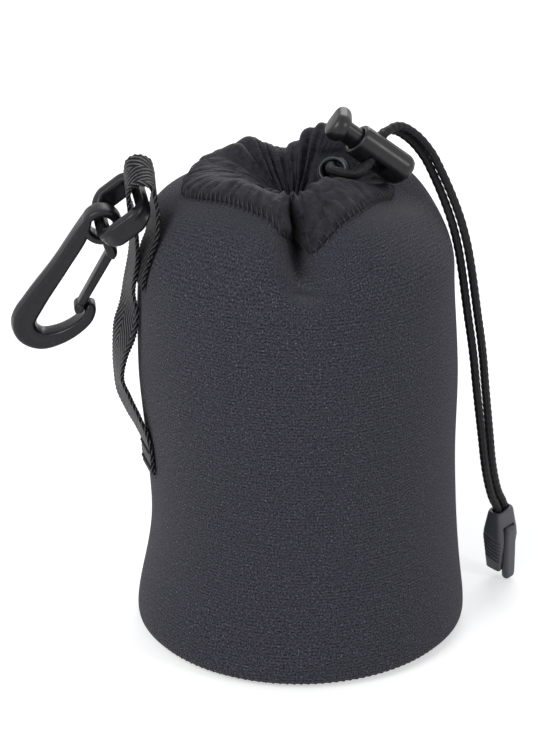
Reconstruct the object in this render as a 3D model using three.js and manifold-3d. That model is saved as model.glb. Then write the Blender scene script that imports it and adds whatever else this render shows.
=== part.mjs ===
import * as THREE from 'three';
import { mergeVertices } from 'three/addons/utils/BufferGeometryUtils.js';
import loadManifold from 'manifold-3d';

// A padded drawstring pouch for a camera lens, drawn shut, standing on its base at the origin.
// Lengths are millimetres and angles are degrees. +Z is up, -Y is the front, the hook hangs at -X.

const wasm = await loadManifold();
wasm.setup();

// Space left between pieces that touch, and the distance at which points count as one.
const clearance = 0.3;
const weldDistance = 1e-4;

// Foam panel: a tube that bulges over the base seam and draws in to the rim.
const foamThickness = 5;
const floorSeamRadius = 46.5;
const baseEdgeRadius = 49.2;
const baseEdgeHeight = 2;
const bulgeRadius = 50.2;
const bulgeHeight = 7;
const waistRadius = 46.4;
const waistHeight = 38;
const wallRadius = 47.4;
const wallHeight = 84;
const rimRadius = 30.5;
const rimHeight = 136;
const shoulderRadius = 45.6;
const shoulderDrop = 22;
const slopeRadius = 39.5;
const slopeDrop = 7;
const mouthShift = -3.7;
const panelRows = 10;
const panelSides = 64;

// Folds that the drawstring leaves: lobes of the rim, lobes of the collar, the pleat in front, and the
// hollow at the right in which the cord lock lies.
const rimRiseRight = 6;
const rimRiseLeft = 3;
const rimDip = 1.6;
const crestRiseRight = 9;
const crestRiseLeft = 7;
const crestRiseFront = 2.4;
const pleatDepth = 6;
const rimLobes = [
  { azimuth: 40, rise: rimRiseRight, spread: 22 },
  { azimuth: 140, rise: rimRiseLeft, spread: 25 },
  { azimuth: 2, rise: -rimDip, spread: 18 },
];
const crestLobes = [
  { azimuth: 62, rise: crestRiseRight, spread: 24 },
  { azimuth: 128, rise: crestRiseLeft, spread: 24 },
  { azimuth: 334, rise: crestRiseFront, spread: 18 },
];
const frontPleat = { azimuth: 268, depth: pleatDepth, spread: 9 };
const lockHollow = { azimuth: 8, share: 0.75, spread: 22 };
const gatherCount = 12;
const gatherDepth = 0.5;

// Collar: a doubled strip of thin cloth, puffed up between the rim and the throat.
const collarSkin = 1.2;
const collarRise = 4.8;
const collarDrop = 2.6;
const throatRadius = 8.4;
const throatHeight = rimHeight - 1.4;
const collarTopRows = 7;
const collarUnderRows = 4;

// Eyelet in the collar's inner slope.
const eyeletAzimuth = 27;
const eyeletAlong = 0.7;
const eyeletBore = 6.2;
const eyeletWall = 0.5;
const eyeletFlange = 9.4;
const eyeletFlangeHeight = 0.7;
const eyeletDepth = 1.8;
const patchMargin = 0.7;
const patchThickness = 1.4;

// Drawstring: one cord, doubled. The pair's route after the lock is listed from the lock to the cord end:
// over the shoulder it keeps to the rim, and below it hangs at shares of the rim's height.
const cordDiameter = 2.6;
const cordLoopRadius = 15.5;
const cordSides = 8;
const leadDepth = 5;
const leadHeading = new THREE.Vector3(-0.25, -0.85, 0.2);
const leadHandles = [11, 7];
const departureHandles = [7, 3.5];
const leadTurn = 14;
const strandSteps = 50;
const loopSteps = 44;
const runStations = 26;
const endSide = new THREE.Vector3(0.72, 0.7, 0);
const freeRoute = [
  new THREE.Vector3(33, 14, rimHeight + 11.3),
  new THREE.Vector3(36.8, 14.4, rimHeight + 6.6),
  new THREE.Vector3(40.3, 12.4, rimHeight + 0.1),
  new THREE.Vector3(43.5, 9.2, rimHeight - 7.1),
  new THREE.Vector3(46.2, 6, rimHeight - 14.9),
  new THREE.Vector3(48.4, 4, rimHeight - 25.5),
  new THREE.Vector3(50.4, 3.8, 0.72 * rimHeight),
  new THREE.Vector3(52.6, 4.6, 0.623 * rimHeight),
  new THREE.Vector3(54.4, 6.6, 0.521 * rimHeight),
  new THREE.Vector3(56.4, 9.1, 0.415 * rimHeight),
  new THREE.Vector3(58.6, 12, 0.304 * rimHeight),
  new THREE.Vector3(61.2, 15, 0.228 * rimHeight),
];

// Cord lock: an oval barrel with a sprung plunger. The cord crosses it nearer the mouth than the middle.
const lockCrossing = new THREE.Vector3(20.2, 1.6, rimHeight + 11.6);
const lockAxis = new THREE.Vector3(0.788, 0.142, -0.597);
const lockCordHeading = new THREE.Vector3(0.370, 0.667, 0.647);
const lockLength = 19;
const lockWidth = 11.8;
const lockThickness = 9.2;
const lockEndRounding = 3;
const lockRimRounding = 0.7;
const lockCordStation = 2.7;
const lockFloor = 2;
const plungerWidth = 8.2;
const plungerThickness = 5.6;
const plungerTravel = 3.5;
const plungerTail = 2.2;
const headThickness = 5.2;
const headRadius = 4.6;
const headTip = 9.4;
const headTipRadius = 1.5;
const headBevel = 1.1;
const springWire = 0.5;
const springRadius = 1.9;
const springCurls = 4;
const springStepsPerCurl = 8;
const springWireSides = 5;

// Cord end: a moulded grip, waisted to the neck and to the foot, with a tongue that jams the strands.
const cordEndTop = new THREE.Vector3(63.3, 17.5, 25.8);
const cordEndFoot = new THREE.Vector3(64, 21, 3.5);
const neckWidth = 7.8;
const neckDepth = 5;
const hipWidth = 9.4;
const hipDepth = 8.2;
const hipAlong = 0.55;
const footWidth = 7.2;
const footDepth = 6;
const gripBoreDepth = 8;
const gripGrooves = 6;
const gripGrooveDepth = 0.45;
const gripGrooveWidth = 0.7;
const gripPitch = 1.5;
const tongueWidth = 4.4;
const tongueThickness = 2.8;
const tongueStandOut = 1.1;
const tongueReach = 2.6;
const tongueTopGap = 5.4;

// Webbing strap: sewn flat at both ends, bowed off the side as a belt loop, and looped through the ring.
const webbingWidth = 12;
const webbingThickness = 1.3;
const sewnAzimuth = 190;
const tailFoot = 46;
const tailTop = 57;
const bowStandOff = 8.6;
const bowTwist = 30;
const meetHeight = rimHeight - 26;
const partHeight = rimHeight - 16;
const upperFoot = rimHeight - 37;
const bowHeight = tailTop + 0.472 * (meetHeight - tailTop);
const loopHeadroom = 5;
const strapSteps = 76;

// Ring of the hook: a closed oval band. Its bar lies in the strap's loop at this point and slope.
const ringBar = new THREE.Vector3(-46.9, -11, rimHeight + 2.4);
const ringBarHeading = new THREE.Vector3(0.12, -0.967, -0.225);
const ringThickness = 3.4;
const ringBand = 5.4;
const ringReach = 14.2;
const ringInnerWidth = 14;
const ringCorner = 3.4;
const ringBevel = 0.8;
const ringSlope = 217.5;

// Snap hook: an eye on the ring's far bar, a long spine, a bend, an arm and a nose, and a sprung gate.
const hookThickness = 6;
const hookBevel = 1.3;
const eyeRadius = 6.3;
const eyeWall = 2.5;
const spineWidth = 6;
const armWidth = 5;
const noseWidth = 3.4;
const flangeThickness = 2.2;
const flangeWidth = 1.6;
const hookLine = [
  new THREE.Vector2(-4.6, -3),
  new THREE.Vector2(-11.7, -13.8),
  new THREE.Vector2(-19.5, -25.4),
  new THREE.Vector2(-22.9, -31.4),
  new THREE.Vector2(-22.4, -36.2),
  new THREE.Vector2(-19, -39),
  new THREE.Vector2(-14.4, -38.8),
  new THREE.Vector2(-9.6, -35.6),
  new THREE.Vector2(-5.4, -31),
  new THREE.Vector2(-3.2, -26.6),
];
const gatePivot = new THREE.Vector2(2.4, -8.9);
const gateTip = new THREE.Vector2(-7, -26);
const gateKnuckle = 2;
const gateThickness = 2.6;
const gateDepth = 4.4;
const lugWall = 1;

// Colours, roughness and metalness of the real materials.
const knit = { color: 0x33323c, roughness: 0.95, metalness: 0 };
const thinCloth = { color: 0x2e2d33, roughness: 0.9, metalness: 0 };
const braid = { color: 0x1c1c1f, roughness: 0.8, metalness: 0 };
const webbing = { color: 0x1d1d20, roughness: 0.7, metalness: 0 };
const glossPlastic = { color: 0x17171a, roughness: 0.3, metalness: 0 };
const mattePlastic = { color: 0x4a4a4e, roughness: 0.55, metalness: 0 };
const darkMetal = { color: 0x565a62, roughness: 0.4, metalness: 0.8 };
const steel = { color: 0xa8a9ab, roughness: 0.3, metalness: 1 };

const radians = THREE.MathUtils.degToRad;
const smooth = THREE.MathUtils.smoothstep;

// A welded copy of a geometry that keeps only the positions.
function weld(geometry) {
  const bare = new THREE.BufferGeometry();
  bare.setAttribute('position', geometry.getAttribute('position').clone());
  if (geometry.index) bare.setIndex(geometry.index.clone());
  return mergeVertices(bare, weldDistance);
}

function solidOf(geometry) {
  const welded = weld(geometry);
  return new wasm.Manifold(new wasm.Mesh({
    numProp: 3,
    vertProperties: new Float32Array(welded.getAttribute('position').array),
    triVerts: new Uint32Array(welded.index.array),
  }));
}

function geometryOf(solid) {
  const cut = solid.getMesh();
  const geometry = new THREE.BufferGeometry();
  geometry.setAttribute('position', new THREE.BufferAttribute(cut.vertProperties, 3));
  geometry.setIndex(new THREE.BufferAttribute(cut.triVerts, 1));
  return geometry;
}

// A named piece in one of the materials.
function piece(name, geometry, finish) {
  const shown = weld(geometry);
  shown.computeVertexNormals();
  const mesh = new THREE.Mesh(shown, new THREE.MeshStandardMaterial(finish));
  mesh.name = name;
  return mesh;
}

// Turns a closed surface outward if its faces enclose a negative volume.
function outward(geometry) {
  const at = geometry.getAttribute('position');
  const index = geometry.index.array;
  const corner = [new THREE.Vector3(), new THREE.Vector3(), new THREE.Vector3()];
  let volume = 0;
  for (let i = 0; i < index.length; i += 3) {
    corner.forEach((point, k) => point.fromBufferAttribute(at, index[i + k]));
    volume += corner[0].dot(corner[1].clone().cross(corner[2]));
  }
  if (volume < 0) {
    for (let i = 0; i < index.length; i += 3) {
      [index[i], index[i + 1]] = [index[i + 1], index[i]];
    }
  }
  return geometry;
}

// A closed surface through rings of points. The rings form a loop, or stand in a row with flat ends.
function skin(rings, looped) {
  const around = rings[0].length;
  const rows = looped ? rings.length : rings.length - 1;
  const index = [];
  for (let i = 0; i < rows; i += 1) {
    const here = i * around;
    const next = ((i + 1) % rings.length) * around;
    for (let j = 0; j < around; j += 1) {
      const k = (j + 1) % around;
      index.push(here + j, here + k, next + k, here + j, next + k, next + j);
    }
  }
  if (!looped) {
    const last = rows * around;
    for (let j = 1; j < around - 1; j += 1) {
      index.push(0, j + 1, j, last, last + j, last + j + 1);
    }
  }
  const geometry = new THREE.BufferGeometry().setFromPoints(rings.flat());
  geometry.setIndex(index);
  return outward(geometry);
}

// A plate of a given outline, centred on its thickness, with rounded edges inside the outline.
function plate(shape, thickness, bevel, rounds = 1) {
  const geometry = new THREE.ExtrudeGeometry(shape, {
    depth: thickness - 2 * bevel,
    bevelEnabled: bevel > 0,
    bevelThickness: bevel,
    bevelSize: bevel,
    bevelOffset: -bevel,
    bevelSegments: rounds,
    curveSegments: 6,
  });
  return geometry.translate(0, 0, bevel - thickness / 2);
}

function polygon(radius, sides) {
  const corners = Array.from({ length: sides }, (_, i) => {
    const turn = (2 * Math.PI * i) / sides;
    return new THREE.Vector2(radius * Math.cos(turn), radius * Math.sin(turn));
  });
  return new THREE.Shape(corners);
}

function roundedRectangle(width, height, corner) {
  const x = width / 2;
  const y = height / 2;
  const shape = new THREE.Shape();
  shape.absarc(x - corner, y - corner, corner, 0, Math.PI / 2);
  shape.absarc(corner - x, y - corner, corner, Math.PI / 2, Math.PI);
  shape.absarc(corner - x, corner - y, corner, Math.PI, 1.5 * Math.PI);
  shape.absarc(x - corner, corner - y, corner, 1.5 * Math.PI, 2 * Math.PI);
  return shape;
}

// A round tube along a list of points.
function tube(points, diameter, sides, steps) {
  const path = new THREE.CatmullRomCurve3(points, false, 'centripetal');
  return new THREE.ExtrudeGeometry(polygon(diameter / 2, sides), { steps, extrudePath: path });
}

// The outline of a bar of changing width along a flat curve, with a round far end.
function barOutline(curve, widthAt, steps) {
  const left = [];
  const right = [];
  for (let i = 0; i <= steps; i += 1) {
    const along = i / steps;
    const middle = curve.getPointAt(along);
    const tangent = curve.getTangentAt(along);
    const side = new THREE.Vector2(-tangent.y, tangent.x).multiplyScalar(widthAt(along) / 2);
    left.push(middle.clone().add(side));
    right.unshift(middle.clone().sub(side));
  }
  const tip = curve.getPointAt(1).addScaledVector(curve.getTangentAt(1), widthAt(1) / 2);
  return new THREE.Shape([...left, tip, ...right]);
}

// A turning basis for a group: its x, y and z directions and its origin.
function framed(group, x, y, z, origin) {
  group.quaternion.setFromRotationMatrix(new THREE.Matrix4().makeBasis(x, y, z));
  group.position.copy(origin);
  return group;
}

// The outline moved inward by a distance. The points run round a closed flat outline.
function inset(points, distance) {
  const turn = Math.sign(THREE.ShapeUtils.area(points));
  return points.map((point, i) => {
    const before = points[(i + points.length - 1) % points.length];
    const after = points[(i + 1) % points.length];
    const tangent = after.clone().sub(before).normalize();
    return new THREE.Vector2(-tangent.y, tangent.x).multiplyScalar(turn * distance).add(point);
  });
}

// Foam panel and base

const outerProfile = new THREE.SplineCurve([
  new THREE.Vector2(floorSeamRadius, clearance),
  new THREE.Vector2(baseEdgeRadius, baseEdgeHeight),
  new THREE.Vector2(bulgeRadius, bulgeHeight),
  new THREE.Vector2(waistRadius, waistHeight),
  new THREE.Vector2(wallRadius, wallHeight),
  new THREE.Vector2(shoulderRadius, rimHeight - shoulderDrop),
  new THREE.Vector2(slopeRadius, rimHeight - slopeDrop),
  new THREE.Vector2(rimRadius, rimHeight),
]);

function offsetFrom(curve, along, distance) {
  const tangent = curve.getTangent(along);
  return new THREE.Vector2(-tangent.y, tangent.x).multiplyScalar(distance).add(curve.getPoint(along));
}

const profileStations = Array.from({ length: panelRows + 1 }, (_, i) => i / panelRows);
const panelOuter = profileStations.map((along) => outerProfile.getPoint(along));
const panelInner = profileStations.map((along) => offsetFrom(outerProfile, along, foamThickness));
const rimInner = panelInner[panelInner.length - 1];
const floorInner = panelInner[0];

// How far a point at this azimuth is within a lobe, from 1 at its middle to 0.
function within(azimuth, lobe) {
  const away = THREE.MathUtils.euclideanModulo(azimuth - lobe.azimuth + 180, 360) - 180;
  return Math.exp(-((away / lobe.spread) ** 2));
}

function riseOf(azimuth, lobes) {
  return lobes.reduce((sum, lobe) => sum + lobe.rise * within(azimuth, lobe), 0);
}

function leanAt(height) {
  return mouthShift * (height / rimHeight) ** 2;
}

function aroundAxis(azimuth, radius, height, lift) {
  const turn = radians(azimuth);
  const x = leanAt(height) + radius * Math.cos(turn);
  return new THREE.Vector3(x, radius * Math.sin(turn), height + lift);
}

function panelPoint(azimuth, section) {
  const drawn = smooth(section.y, rimHeight - shoulderDrop, rimInner.y);
  const pleat = frontPleat.depth * within(azimuth, frontPleat) * drawn;
  return aroundAxis(azimuth, section.x - pleat, section.y, drawn * riseOf(azimuth, rimLobes));
}

const panelAzimuths = Array.from({ length: panelSides }, (_, i) => (360 * i) / panelSides);
const panelSection = [...panelOuter, ...panelInner.slice().reverse()];
const bodyPanel = skin(panelAzimuths.map((a) => panelSection.map((s) => panelPoint(a, s))), true);

const baseDisc = new THREE.LatheGeometry([
  new THREE.Vector2(0, 0),
  new THREE.Vector2(floorSeamRadius - 1.5 * clearance, 0),
  new THREE.Vector2(floorInner.x - 1.5 * clearance, floorInner.y),
  new THREE.Vector2(floorInner.x - foamThickness, foamThickness),
  new THREE.Vector2(0, foamThickness),
], panelSides).rotateX(Math.PI / 2);

// The panel's outside radius at a height, on its faceted profile.
function panelRadiusAt(height) {
  const above = panelOuter.findIndex((section) => section.y > height);
  const low = panelOuter[above - 1];
  const high = panelOuter[above];
  return THREE.MathUtils.mapLinear(height, low.y, high.y, low.x, high.x);
}

// Collar

const mitre = rimInner.clone().sub(new THREE.Vector2(rimRadius, rimHeight)).normalize();
const mitreGap = new THREE.Vector2(mitre.y, -mitre.x).multiplyScalar(1.5 * clearance);
const seamTop = new THREE.Vector2(rimRadius, rimHeight).add(mitreGap);
const seamUnder = rimInner.clone().add(mitreGap);
const collarSpan = seamTop.x - throatRadius;

function collarStation(share, height) {
  return new THREE.Vector2(throatRadius + share * collarSpan, height);
}

const collarTop = new THREE.SplineCurve([
  seamTop,
  collarStation(0.95, seamTop.y + collarRise / 2),
  collarStation(0.78, seamTop.y + 0.88 * collarRise),
  collarStation(0.54, seamTop.y + collarRise),
  collarStation(0.3, seamTop.y + 0.8 * collarRise),
  collarStation(0.1, seamTop.y + collarRise / 3),
  new THREE.Vector2(throatRadius, throatHeight),
]);
const collarUnder = new THREE.SplineCurve([
  new THREE.Vector2(throatRadius, throatHeight),
  collarStation(0.12, seamUnder.y),
  collarStation(0.4, seamUnder.y - collarDrop),
  collarStation(0.65, seamUnder.y - collarDrop),
  seamUnder,
]);
const collarOutline = [
  ...collarTop.getPoints(collarTopRows).slice(0, -1),
  ...collarUnder.getPoints(collarUnderRows),
];

function collarPoint(azimuth, section) {
  const inward = THREE.MathUtils.clamp((seamUnder.x - section.x) / (seamUnder.x - throatRadius), 0, 1);
  const crest = Math.sin(Math.PI * inward) ** 2;
  const drawn = smooth(section.x, throatRadius, seamUnder.x);
  const pleat = frontPleat.depth * within(azimuth, frontPleat) * drawn;
  const gather = gatherDepth * Math.cos(gatherCount * radians(azimuth));
  const puff = Math.max(section.y - seamTop.y, 0);
  const flattened = puff * lockHollow.share * within(azimuth, lockHollow);
  const upper = smooth(section.y, seamUnder.y + collarSkin, throatHeight + collarSkin);
  const crown = crest * upper * (riseOf(azimuth, crestLobes) + gather);
  const lift = drawn * riseOf(azimuth, rimLobes) + crown;
  return aroundAxis(azimuth, section.x - pleat, section.y, lift - flattened);
}

function collarSurface(outline) {
  return skin(panelAzimuths.map((a) => outline.map((s) => collarPoint(a, s))), true);
}

// The eyelet's seat: a point of the collar's upper skin, and the direction in which it faces.
const seat = collarPoint(eyeletAzimuth, collarTop.getPoint(eyeletAlong));
const nudge = 0.05;
const seatAcross = collarPoint(eyeletAzimuth + 360 * nudge / Math.PI, collarTop.getPoint(eyeletAlong))
  .sub(collarPoint(eyeletAzimuth - 360 * nudge / Math.PI, collarTop.getPoint(eyeletAlong))).normalize();
const seatDown = collarPoint(eyeletAzimuth, collarTop.getPoint(eyeletAlong + nudge))
  .sub(collarPoint(eyeletAzimuth, collarTop.getPoint(eyeletAlong - nudge)));
const seatFacing = seatAcross.clone().cross(seatDown).normalize();
if (seatFacing.z < 0) seatFacing.negate();
const seatSide = seatFacing.clone().cross(seatAcross).normalize();
const seatFrame = new THREE.Matrix4().makeBasis(seatAcross, seatSide, seatFacing).setPosition(seat);

// A cylinder along the eyelet's axis, between two heights over its seat.
function seatCylinder(radius, from, to) {
  const geometry = new THREE.CylinderGeometry(radius, radius, to - from, 24);
  return geometry.rotateX(Math.PI / 2).translate(0, 0, (from + to) / 2).applyMatrix4(seatFrame);
}

const patchRadius = eyeletFlange / 2 + patchMargin;
const fabricHole = eyeletBore / 2 + eyeletWall + clearance;
const collar = geometryOf(
  solidOf(collarSurface(collarOutline))
    .subtract(solidOf(collarSurface(inset(collarOutline, collarSkin))))
    .add(solidOf(seatCylinder(patchRadius, -patchThickness, 0)))
    .subtract(solidOf(seatCylinder(patchRadius, 0, 2 * foamThickness)))
    .subtract(solidOf(seatCylinder(fabricHole, -eyeletDepth - clearance, clearance))),
);

const eyelet = new THREE.LatheGeometry([
  new THREE.Vector2(eyeletBore / 2, -eyeletDepth),
  new THREE.Vector2(eyeletBore / 2 + eyeletWall, -eyeletDepth),
  new THREE.Vector2(eyeletBore / 2 + eyeletWall, clearance),
  new THREE.Vector2(eyeletFlange / 2, clearance),
  new THREE.Vector2(eyeletFlange / 2 - eyeletWall / 2, eyeletFlangeHeight),
  new THREE.Vector2(eyeletBore / 2 + eyeletWall, clearance + eyeletFlangeHeight),
  new THREE.Vector2(eyeletBore / 2, eyeletFlangeHeight - clearance),
  new THREE.Vector2(eyeletBore / 2, -eyeletDepth),
], 20).rotateX(Math.PI / 2).applyMatrix4(seatFrame);

// Directions in the cord lock: along the plunger, along the cord, and across both.

const plungerOut = lockAxis.clone().normalize().negate();
const cordThrough = lockCordHeading.clone()
  .addScaledVector(plungerOut, -lockCordHeading.dot(plungerOut))
  .normalize();
const pairAcross = cordThrough.clone().cross(plungerOut).normalize();

// Drawstring: the route of the pair, and a strand to each side of it.

const cordRadius = cordDiameter / 2;
const pairHalf = cordRadius + clearance / 2;
const lockHalf = lockThickness / 2;
const entry = lockCrossing.clone().addScaledVector(cordThrough, -lockHalf);
const exit = lockCrossing.clone().addScaledVector(cordThrough, lockHalf);
const mouthPoint = seat.clone().addScaledVector(seatFacing, eyeletFlangeHeight);
const cordEndHeading = cordEndFoot.clone().sub(cordEndTop).normalize();
const cordTipPoint = cordEndTop.clone().addScaledVector(cordEndHeading, gripBoreDepth - 2 * clearance);

// A bend that leaves one point with a heading and reaches another point with its heading.
function bend(start, startHeading, finish, finishHeading, [startHandle, finishHandle]) {
  return new THREE.CubicBezierCurve3(
    start,
    start.clone().addScaledVector(startHeading.clone().normalize(), startHandle),
    finish.clone().addScaledVector(finishHeading.clone().normalize(), -finishHandle),
    finish,
  );
}

const freeHeading = freeRoute[1].clone().sub(freeRoute[0]);
const pairRoute = new THREE.CurvePath();
pairRoute.add(bend(mouthPoint, leadHeading, entry, cordThrough, leadHandles));
pairRoute.add(new THREE.LineCurve3(entry, exit));
pairRoute.add(bend(exit, cordThrough, freeRoute[0], freeHeading, departureHandles));
pairRoute.add(new THREE.CatmullRomCurve3([...freeRoute, cordEndTop, cordTipPoint], false, 'centripetal'));

const frames = pairRoute.computeFrenetFrames(strandSteps, false);
const routePoints = pairRoute.getSpacedPoints(strandSteps).slice(0, strandSteps + 1);

function angleInFrame(direction, i) {
  return Math.atan2(direction.dot(frames.binormals[i]), direction.dot(frames.normals[i]));
}

const distances = routePoints.map((point) => point.distanceTo(lockCrossing));
const lockStep = distances.indexOf(Math.min(...distances));
const lockAngle = angleInFrame(pairAcross, lockStep);

// The turn from the lock's angle to another angle, at most a quarter either way, since strands swap freely.
function turnFromLock(angle) {
  return THREE.MathUtils.euclideanModulo(angle - lockAngle + Math.PI / 2, Math.PI) - Math.PI / 2;
}

const startTurn = turnFromLock(angleInFrame(seatAcross, 0));
const endTurn = turnFromLock(angleInFrame(endSide, strandSteps));

// The direction from the middle of the pair to one strand, at each step of the route.
const strandSides = routePoints.map((_, i) => {
  const early = startTurn * (1 - smooth(i, 0, lockStep - 1));
  const angle = lockAngle + early + endTurn * smooth(i, lockStep + 1, strandSteps);
  return frames.normals[i].clone().multiplyScalar(Math.cos(angle))
    .addScaledVector(frames.binormals[i], Math.sin(angle));
});

function strandPoints(sign) {
  return routePoints.map((point, i) => point.clone().addScaledVector(strandSides[i], sign * pairHalf));
}

function strand(sign) {
  return tube(strandPoints(sign), cordDiameter, cordSides, strandSteps);
}

// The run inside the collar leaves the eyelet on both sides and meets round the throat.
function stationAtRadius(curve, radius) {
  const stations = curve.getPoints(200);
  const misses = stations.map((section) => Math.abs(section.x - radius));
  return stations[misses.indexOf(Math.min(...misses))];
}

const runUnder = stationAtRadius(collarUnder, cordLoopRadius);
const runLift = new THREE.Vector3(0, 0, collarSkin + 3 * clearance + cordRadius);

function runPoint(azimuth) {
  return collarPoint(azimuth, runUnder).add(runLift);
}

// The run goes straight through the eyelet, from just under the strand to below the eyelet's barrel.
function leadPoints(sign) {
  const top = mouthPoint.clone().addScaledVector(strandSides[0], sign * pairHalf);
  const depths = [cordRadius, leadDepth / 2, leadDepth];
  return depths.map((depth) => top.clone().addScaledVector(seatFacing, -depth));
}

const leadSign = Math.sign(strandSides[0].dot(seatAcross)) || 1;
const runAzimuths = Array.from({ length: runStations + 1 }, (_, i) => {
  return eyeletAzimuth + leadTurn + ((360 - 2 * leadTurn) * i) / runStations;
});
const drawstringLoop = tube([
  ...leadPoints(leadSign),
  ...runAzimuths.map(runPoint),
  ...leadPoints(-leadSign).reverse(),
], cordDiameter, cordSides, loopSteps);

// Cord lock: x is across the pair, y is along the cord and z is along the plunger, toward its head.

const lockGroup = new THREE.Group();
lockGroup.name = 'cord_lock';
const lockMiddle = lockCrossing.clone().addScaledVector(plungerOut, -lockCordStation);
framed(lockGroup, pairAcross, cordThrough, plungerOut, lockMiddle);

// A turned oval solid along z, from a profile of half thickness against height.
function ovalTurned(profile, width, thickness) {
  const geometry = new THREE.LatheGeometry(profile.map(([r, z]) => new THREE.Vector2(r, z)), 24);
  return geometry.rotateX(Math.PI / 2).scale(width / thickness, 1, 1);
}

const barrelEnd = lockLength / 2;
const boreFloor = lockFloor - barrelEnd;
const boreWidth = plungerWidth + 2 * clearance;
const boreThickness = plungerThickness + 2 * clearance;
const pairWidth = 4 * cordRadius + 3 * clearance;
const strandRoom = cordRadius + clearance;

// A straight opening through the lock along the cord, between two heights on its axis.
function cordSlot(from, to) {
  const outline = roundedRectangle(pairWidth, to - from, strandRoom / 2);
  return plate(outline, 2 * lockThickness, 0).rotateX(Math.PI / 2).translate(0, 0, (from + to) / 2);
}

const barrelShell = ovalTurned([
  [0, -barrelEnd],
  [lockHalf - lockEndRounding, -barrelEnd],
  [lockHalf - 0.3 * lockEndRounding, 0.3 * lockEndRounding - barrelEnd],
  [lockHalf, lockEndRounding - barrelEnd],
  [lockHalf, barrelEnd - lockRimRounding],
  [lockHalf - lockRimRounding, barrelEnd],
  [0, barrelEnd],
], lockWidth, lockThickness);
const barrelBore = ovalTurned([
  [0, boreFloor],
  [boreThickness / 2, boreFloor],
  [boreThickness / 2, barrelEnd + clearance],
  [0, barrelEnd + clearance],
], boreWidth, boreThickness);
const slotTop = lockCordStation + strandRoom;
const lockBarrel = geometryOf(
  solidOf(barrelShell)
    .subtract(solidOf(barrelBore))
    .subtract(solidOf(cordSlot(slotTop - 2 * strandRoom - plungerTravel, slotTop))),
);

const windowFoot = lockCordStation - strandRoom;
const stemFoot = windowFoot - plungerTail;
const headFoot = barrelEnd + plungerTravel + clearance;
const stem = ovalTurned([
  [0, stemFoot],
  [plungerThickness / 2, stemFoot],
  [plungerThickness / 2, headFoot + headThickness / 2],
  [0, headFoot + headThickness / 2],
], plungerWidth, plungerThickness);
const tearDrop = new THREE.Shape();
const taperTurn = Math.acos((headRadius - headTipRadius) / (headTip - headTipRadius));
tearDrop.absarc(0, 0, headRadius, Math.PI / 2 + taperTurn, Math.PI / 2 - taperTurn);
const tipMiddle = headTip - headTipRadius;
tearDrop.absarc(0, tipMiddle, headTipRadius, Math.PI / 2 - taperTurn, Math.PI / 2 + taperTurn);
const head = plate(tearDrop, headThickness, headBevel).translate(0, 0, headFoot + headThickness / 2);
const lockPlunger = geometryOf(
  solidOf(head)
    .add(solidOf(stem))
    .subtract(solidOf(cordSlot(windowFoot, slotTop + plungerTravel))),
);

const springLow = boreFloor + clearance + springWire / 2;
const springHigh = stemFoot - clearance - springWire / 2;
const springPoints = Array.from({ length: springCurls * springStepsPerCurl + 1 }, (_, i) => {
  const along = i / (springCurls * springStepsPerCurl);
  const turn = 2 * Math.PI * springCurls * along;
  const height = THREE.MathUtils.lerp(springLow, springHigh, along);
  return new THREE.Vector3(springRadius * Math.cos(turn), springRadius * Math.sin(turn), height);
});
const lockSpring = tube(springPoints, springWire, springWireSides, springCurls * springStepsPerCurl);

// The least space between two turns of the spring, measured on the points of its wire.
let springGap = Infinity;
springPoints.forEach((point, i) => {
  springPoints.slice(i + springStepsPerCurl / 2).forEach((other) => {
    springGap = Math.min(springGap, point.distanceTo(other) - springWire);
  });
});
console.log(`least gap in the lock spring: ${springGap.toFixed(2)} mm`);

lockGroup.add(
  piece('lock_barrel', lockBarrel, glossPlastic),
  piece('lock_plunger', lockPlunger, glossPlastic),
  piece('lock_spring', lockSpring, steel),
);

// Cord end: x is across the pair of strands, y is out of the tongue's face, toward the front, and z is
// up along the cord, from the foot.

const gripLength = cordEndTop.distanceTo(cordEndFoot);
const gripUp = cordEndHeading.clone().negate();
const gripAcross = strandSides[strandSteps].clone().negate();
gripAcross.addScaledVector(gripUp, -gripAcross.dot(gripUp)).normalize();
const gripFront = gripUp.clone().cross(gripAcross);
const gripGroup = new THREE.Group();
gripGroup.name = 'cord_end';
framed(gripGroup, gripAcross, gripFront, gripUp, cordEndFoot);
const gripBase = gripLength - clearance;

function gripRing(width, depth, height) {
  const outline = roundedRectangle(width, depth, 0.35 * Math.min(width, depth)).getPoints(3);
  return outline.slice(0, -1).map((p) => new THREE.Vector3(p.x, p.y, height));
}

const gripShell = skin([
  gripRing(0.86 * footWidth, 0.86 * footDepth, 0),
  gripRing(footWidth, footDepth, tongueStandOut / 2),
  gripRing(hipWidth, hipDepth, hipAlong * gripBase),
  gripRing(0.97 * hipWidth, 0.95 * hipDepth, (hipAlong + 0.12) * gripBase),
  gripRing(neckWidth, neckDepth, gripBase - tongueStandOut / 2),
  gripRing(0.95 * neckWidth, 0.92 * neckDepth, gripBase),
], false);
const gripMouth = roundedRectangle(pairWidth + clearance, 2 * strandRoom + clearance, strandRoom);
const gripBore = plate(gripMouth, gripBoreDepth, 0)
  .translate(0, 0, gripLength - gripBoreDepth / 2);
const tongueLength = gripBase - tongueTopGap + tongueReach;
const tongueMiddle = tongueLength / 2 - tongueReach;
const tongueFace = hipDepth / 2 + tongueStandOut - tongueThickness / 2;

function tongueBar(grow) {
  const outline = roundedRectangle(tongueWidth + 2 * grow, tongueLength + 2 * grow, tongueWidth / 2.5);
  const bar = plate(outline, tongueThickness + 2 * grow, grow > 0 ? 0 : tongueStandOut / 2);
  return bar.rotateX(Math.PI / 2).translate(0, tongueFace, tongueMiddle);
}

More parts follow.
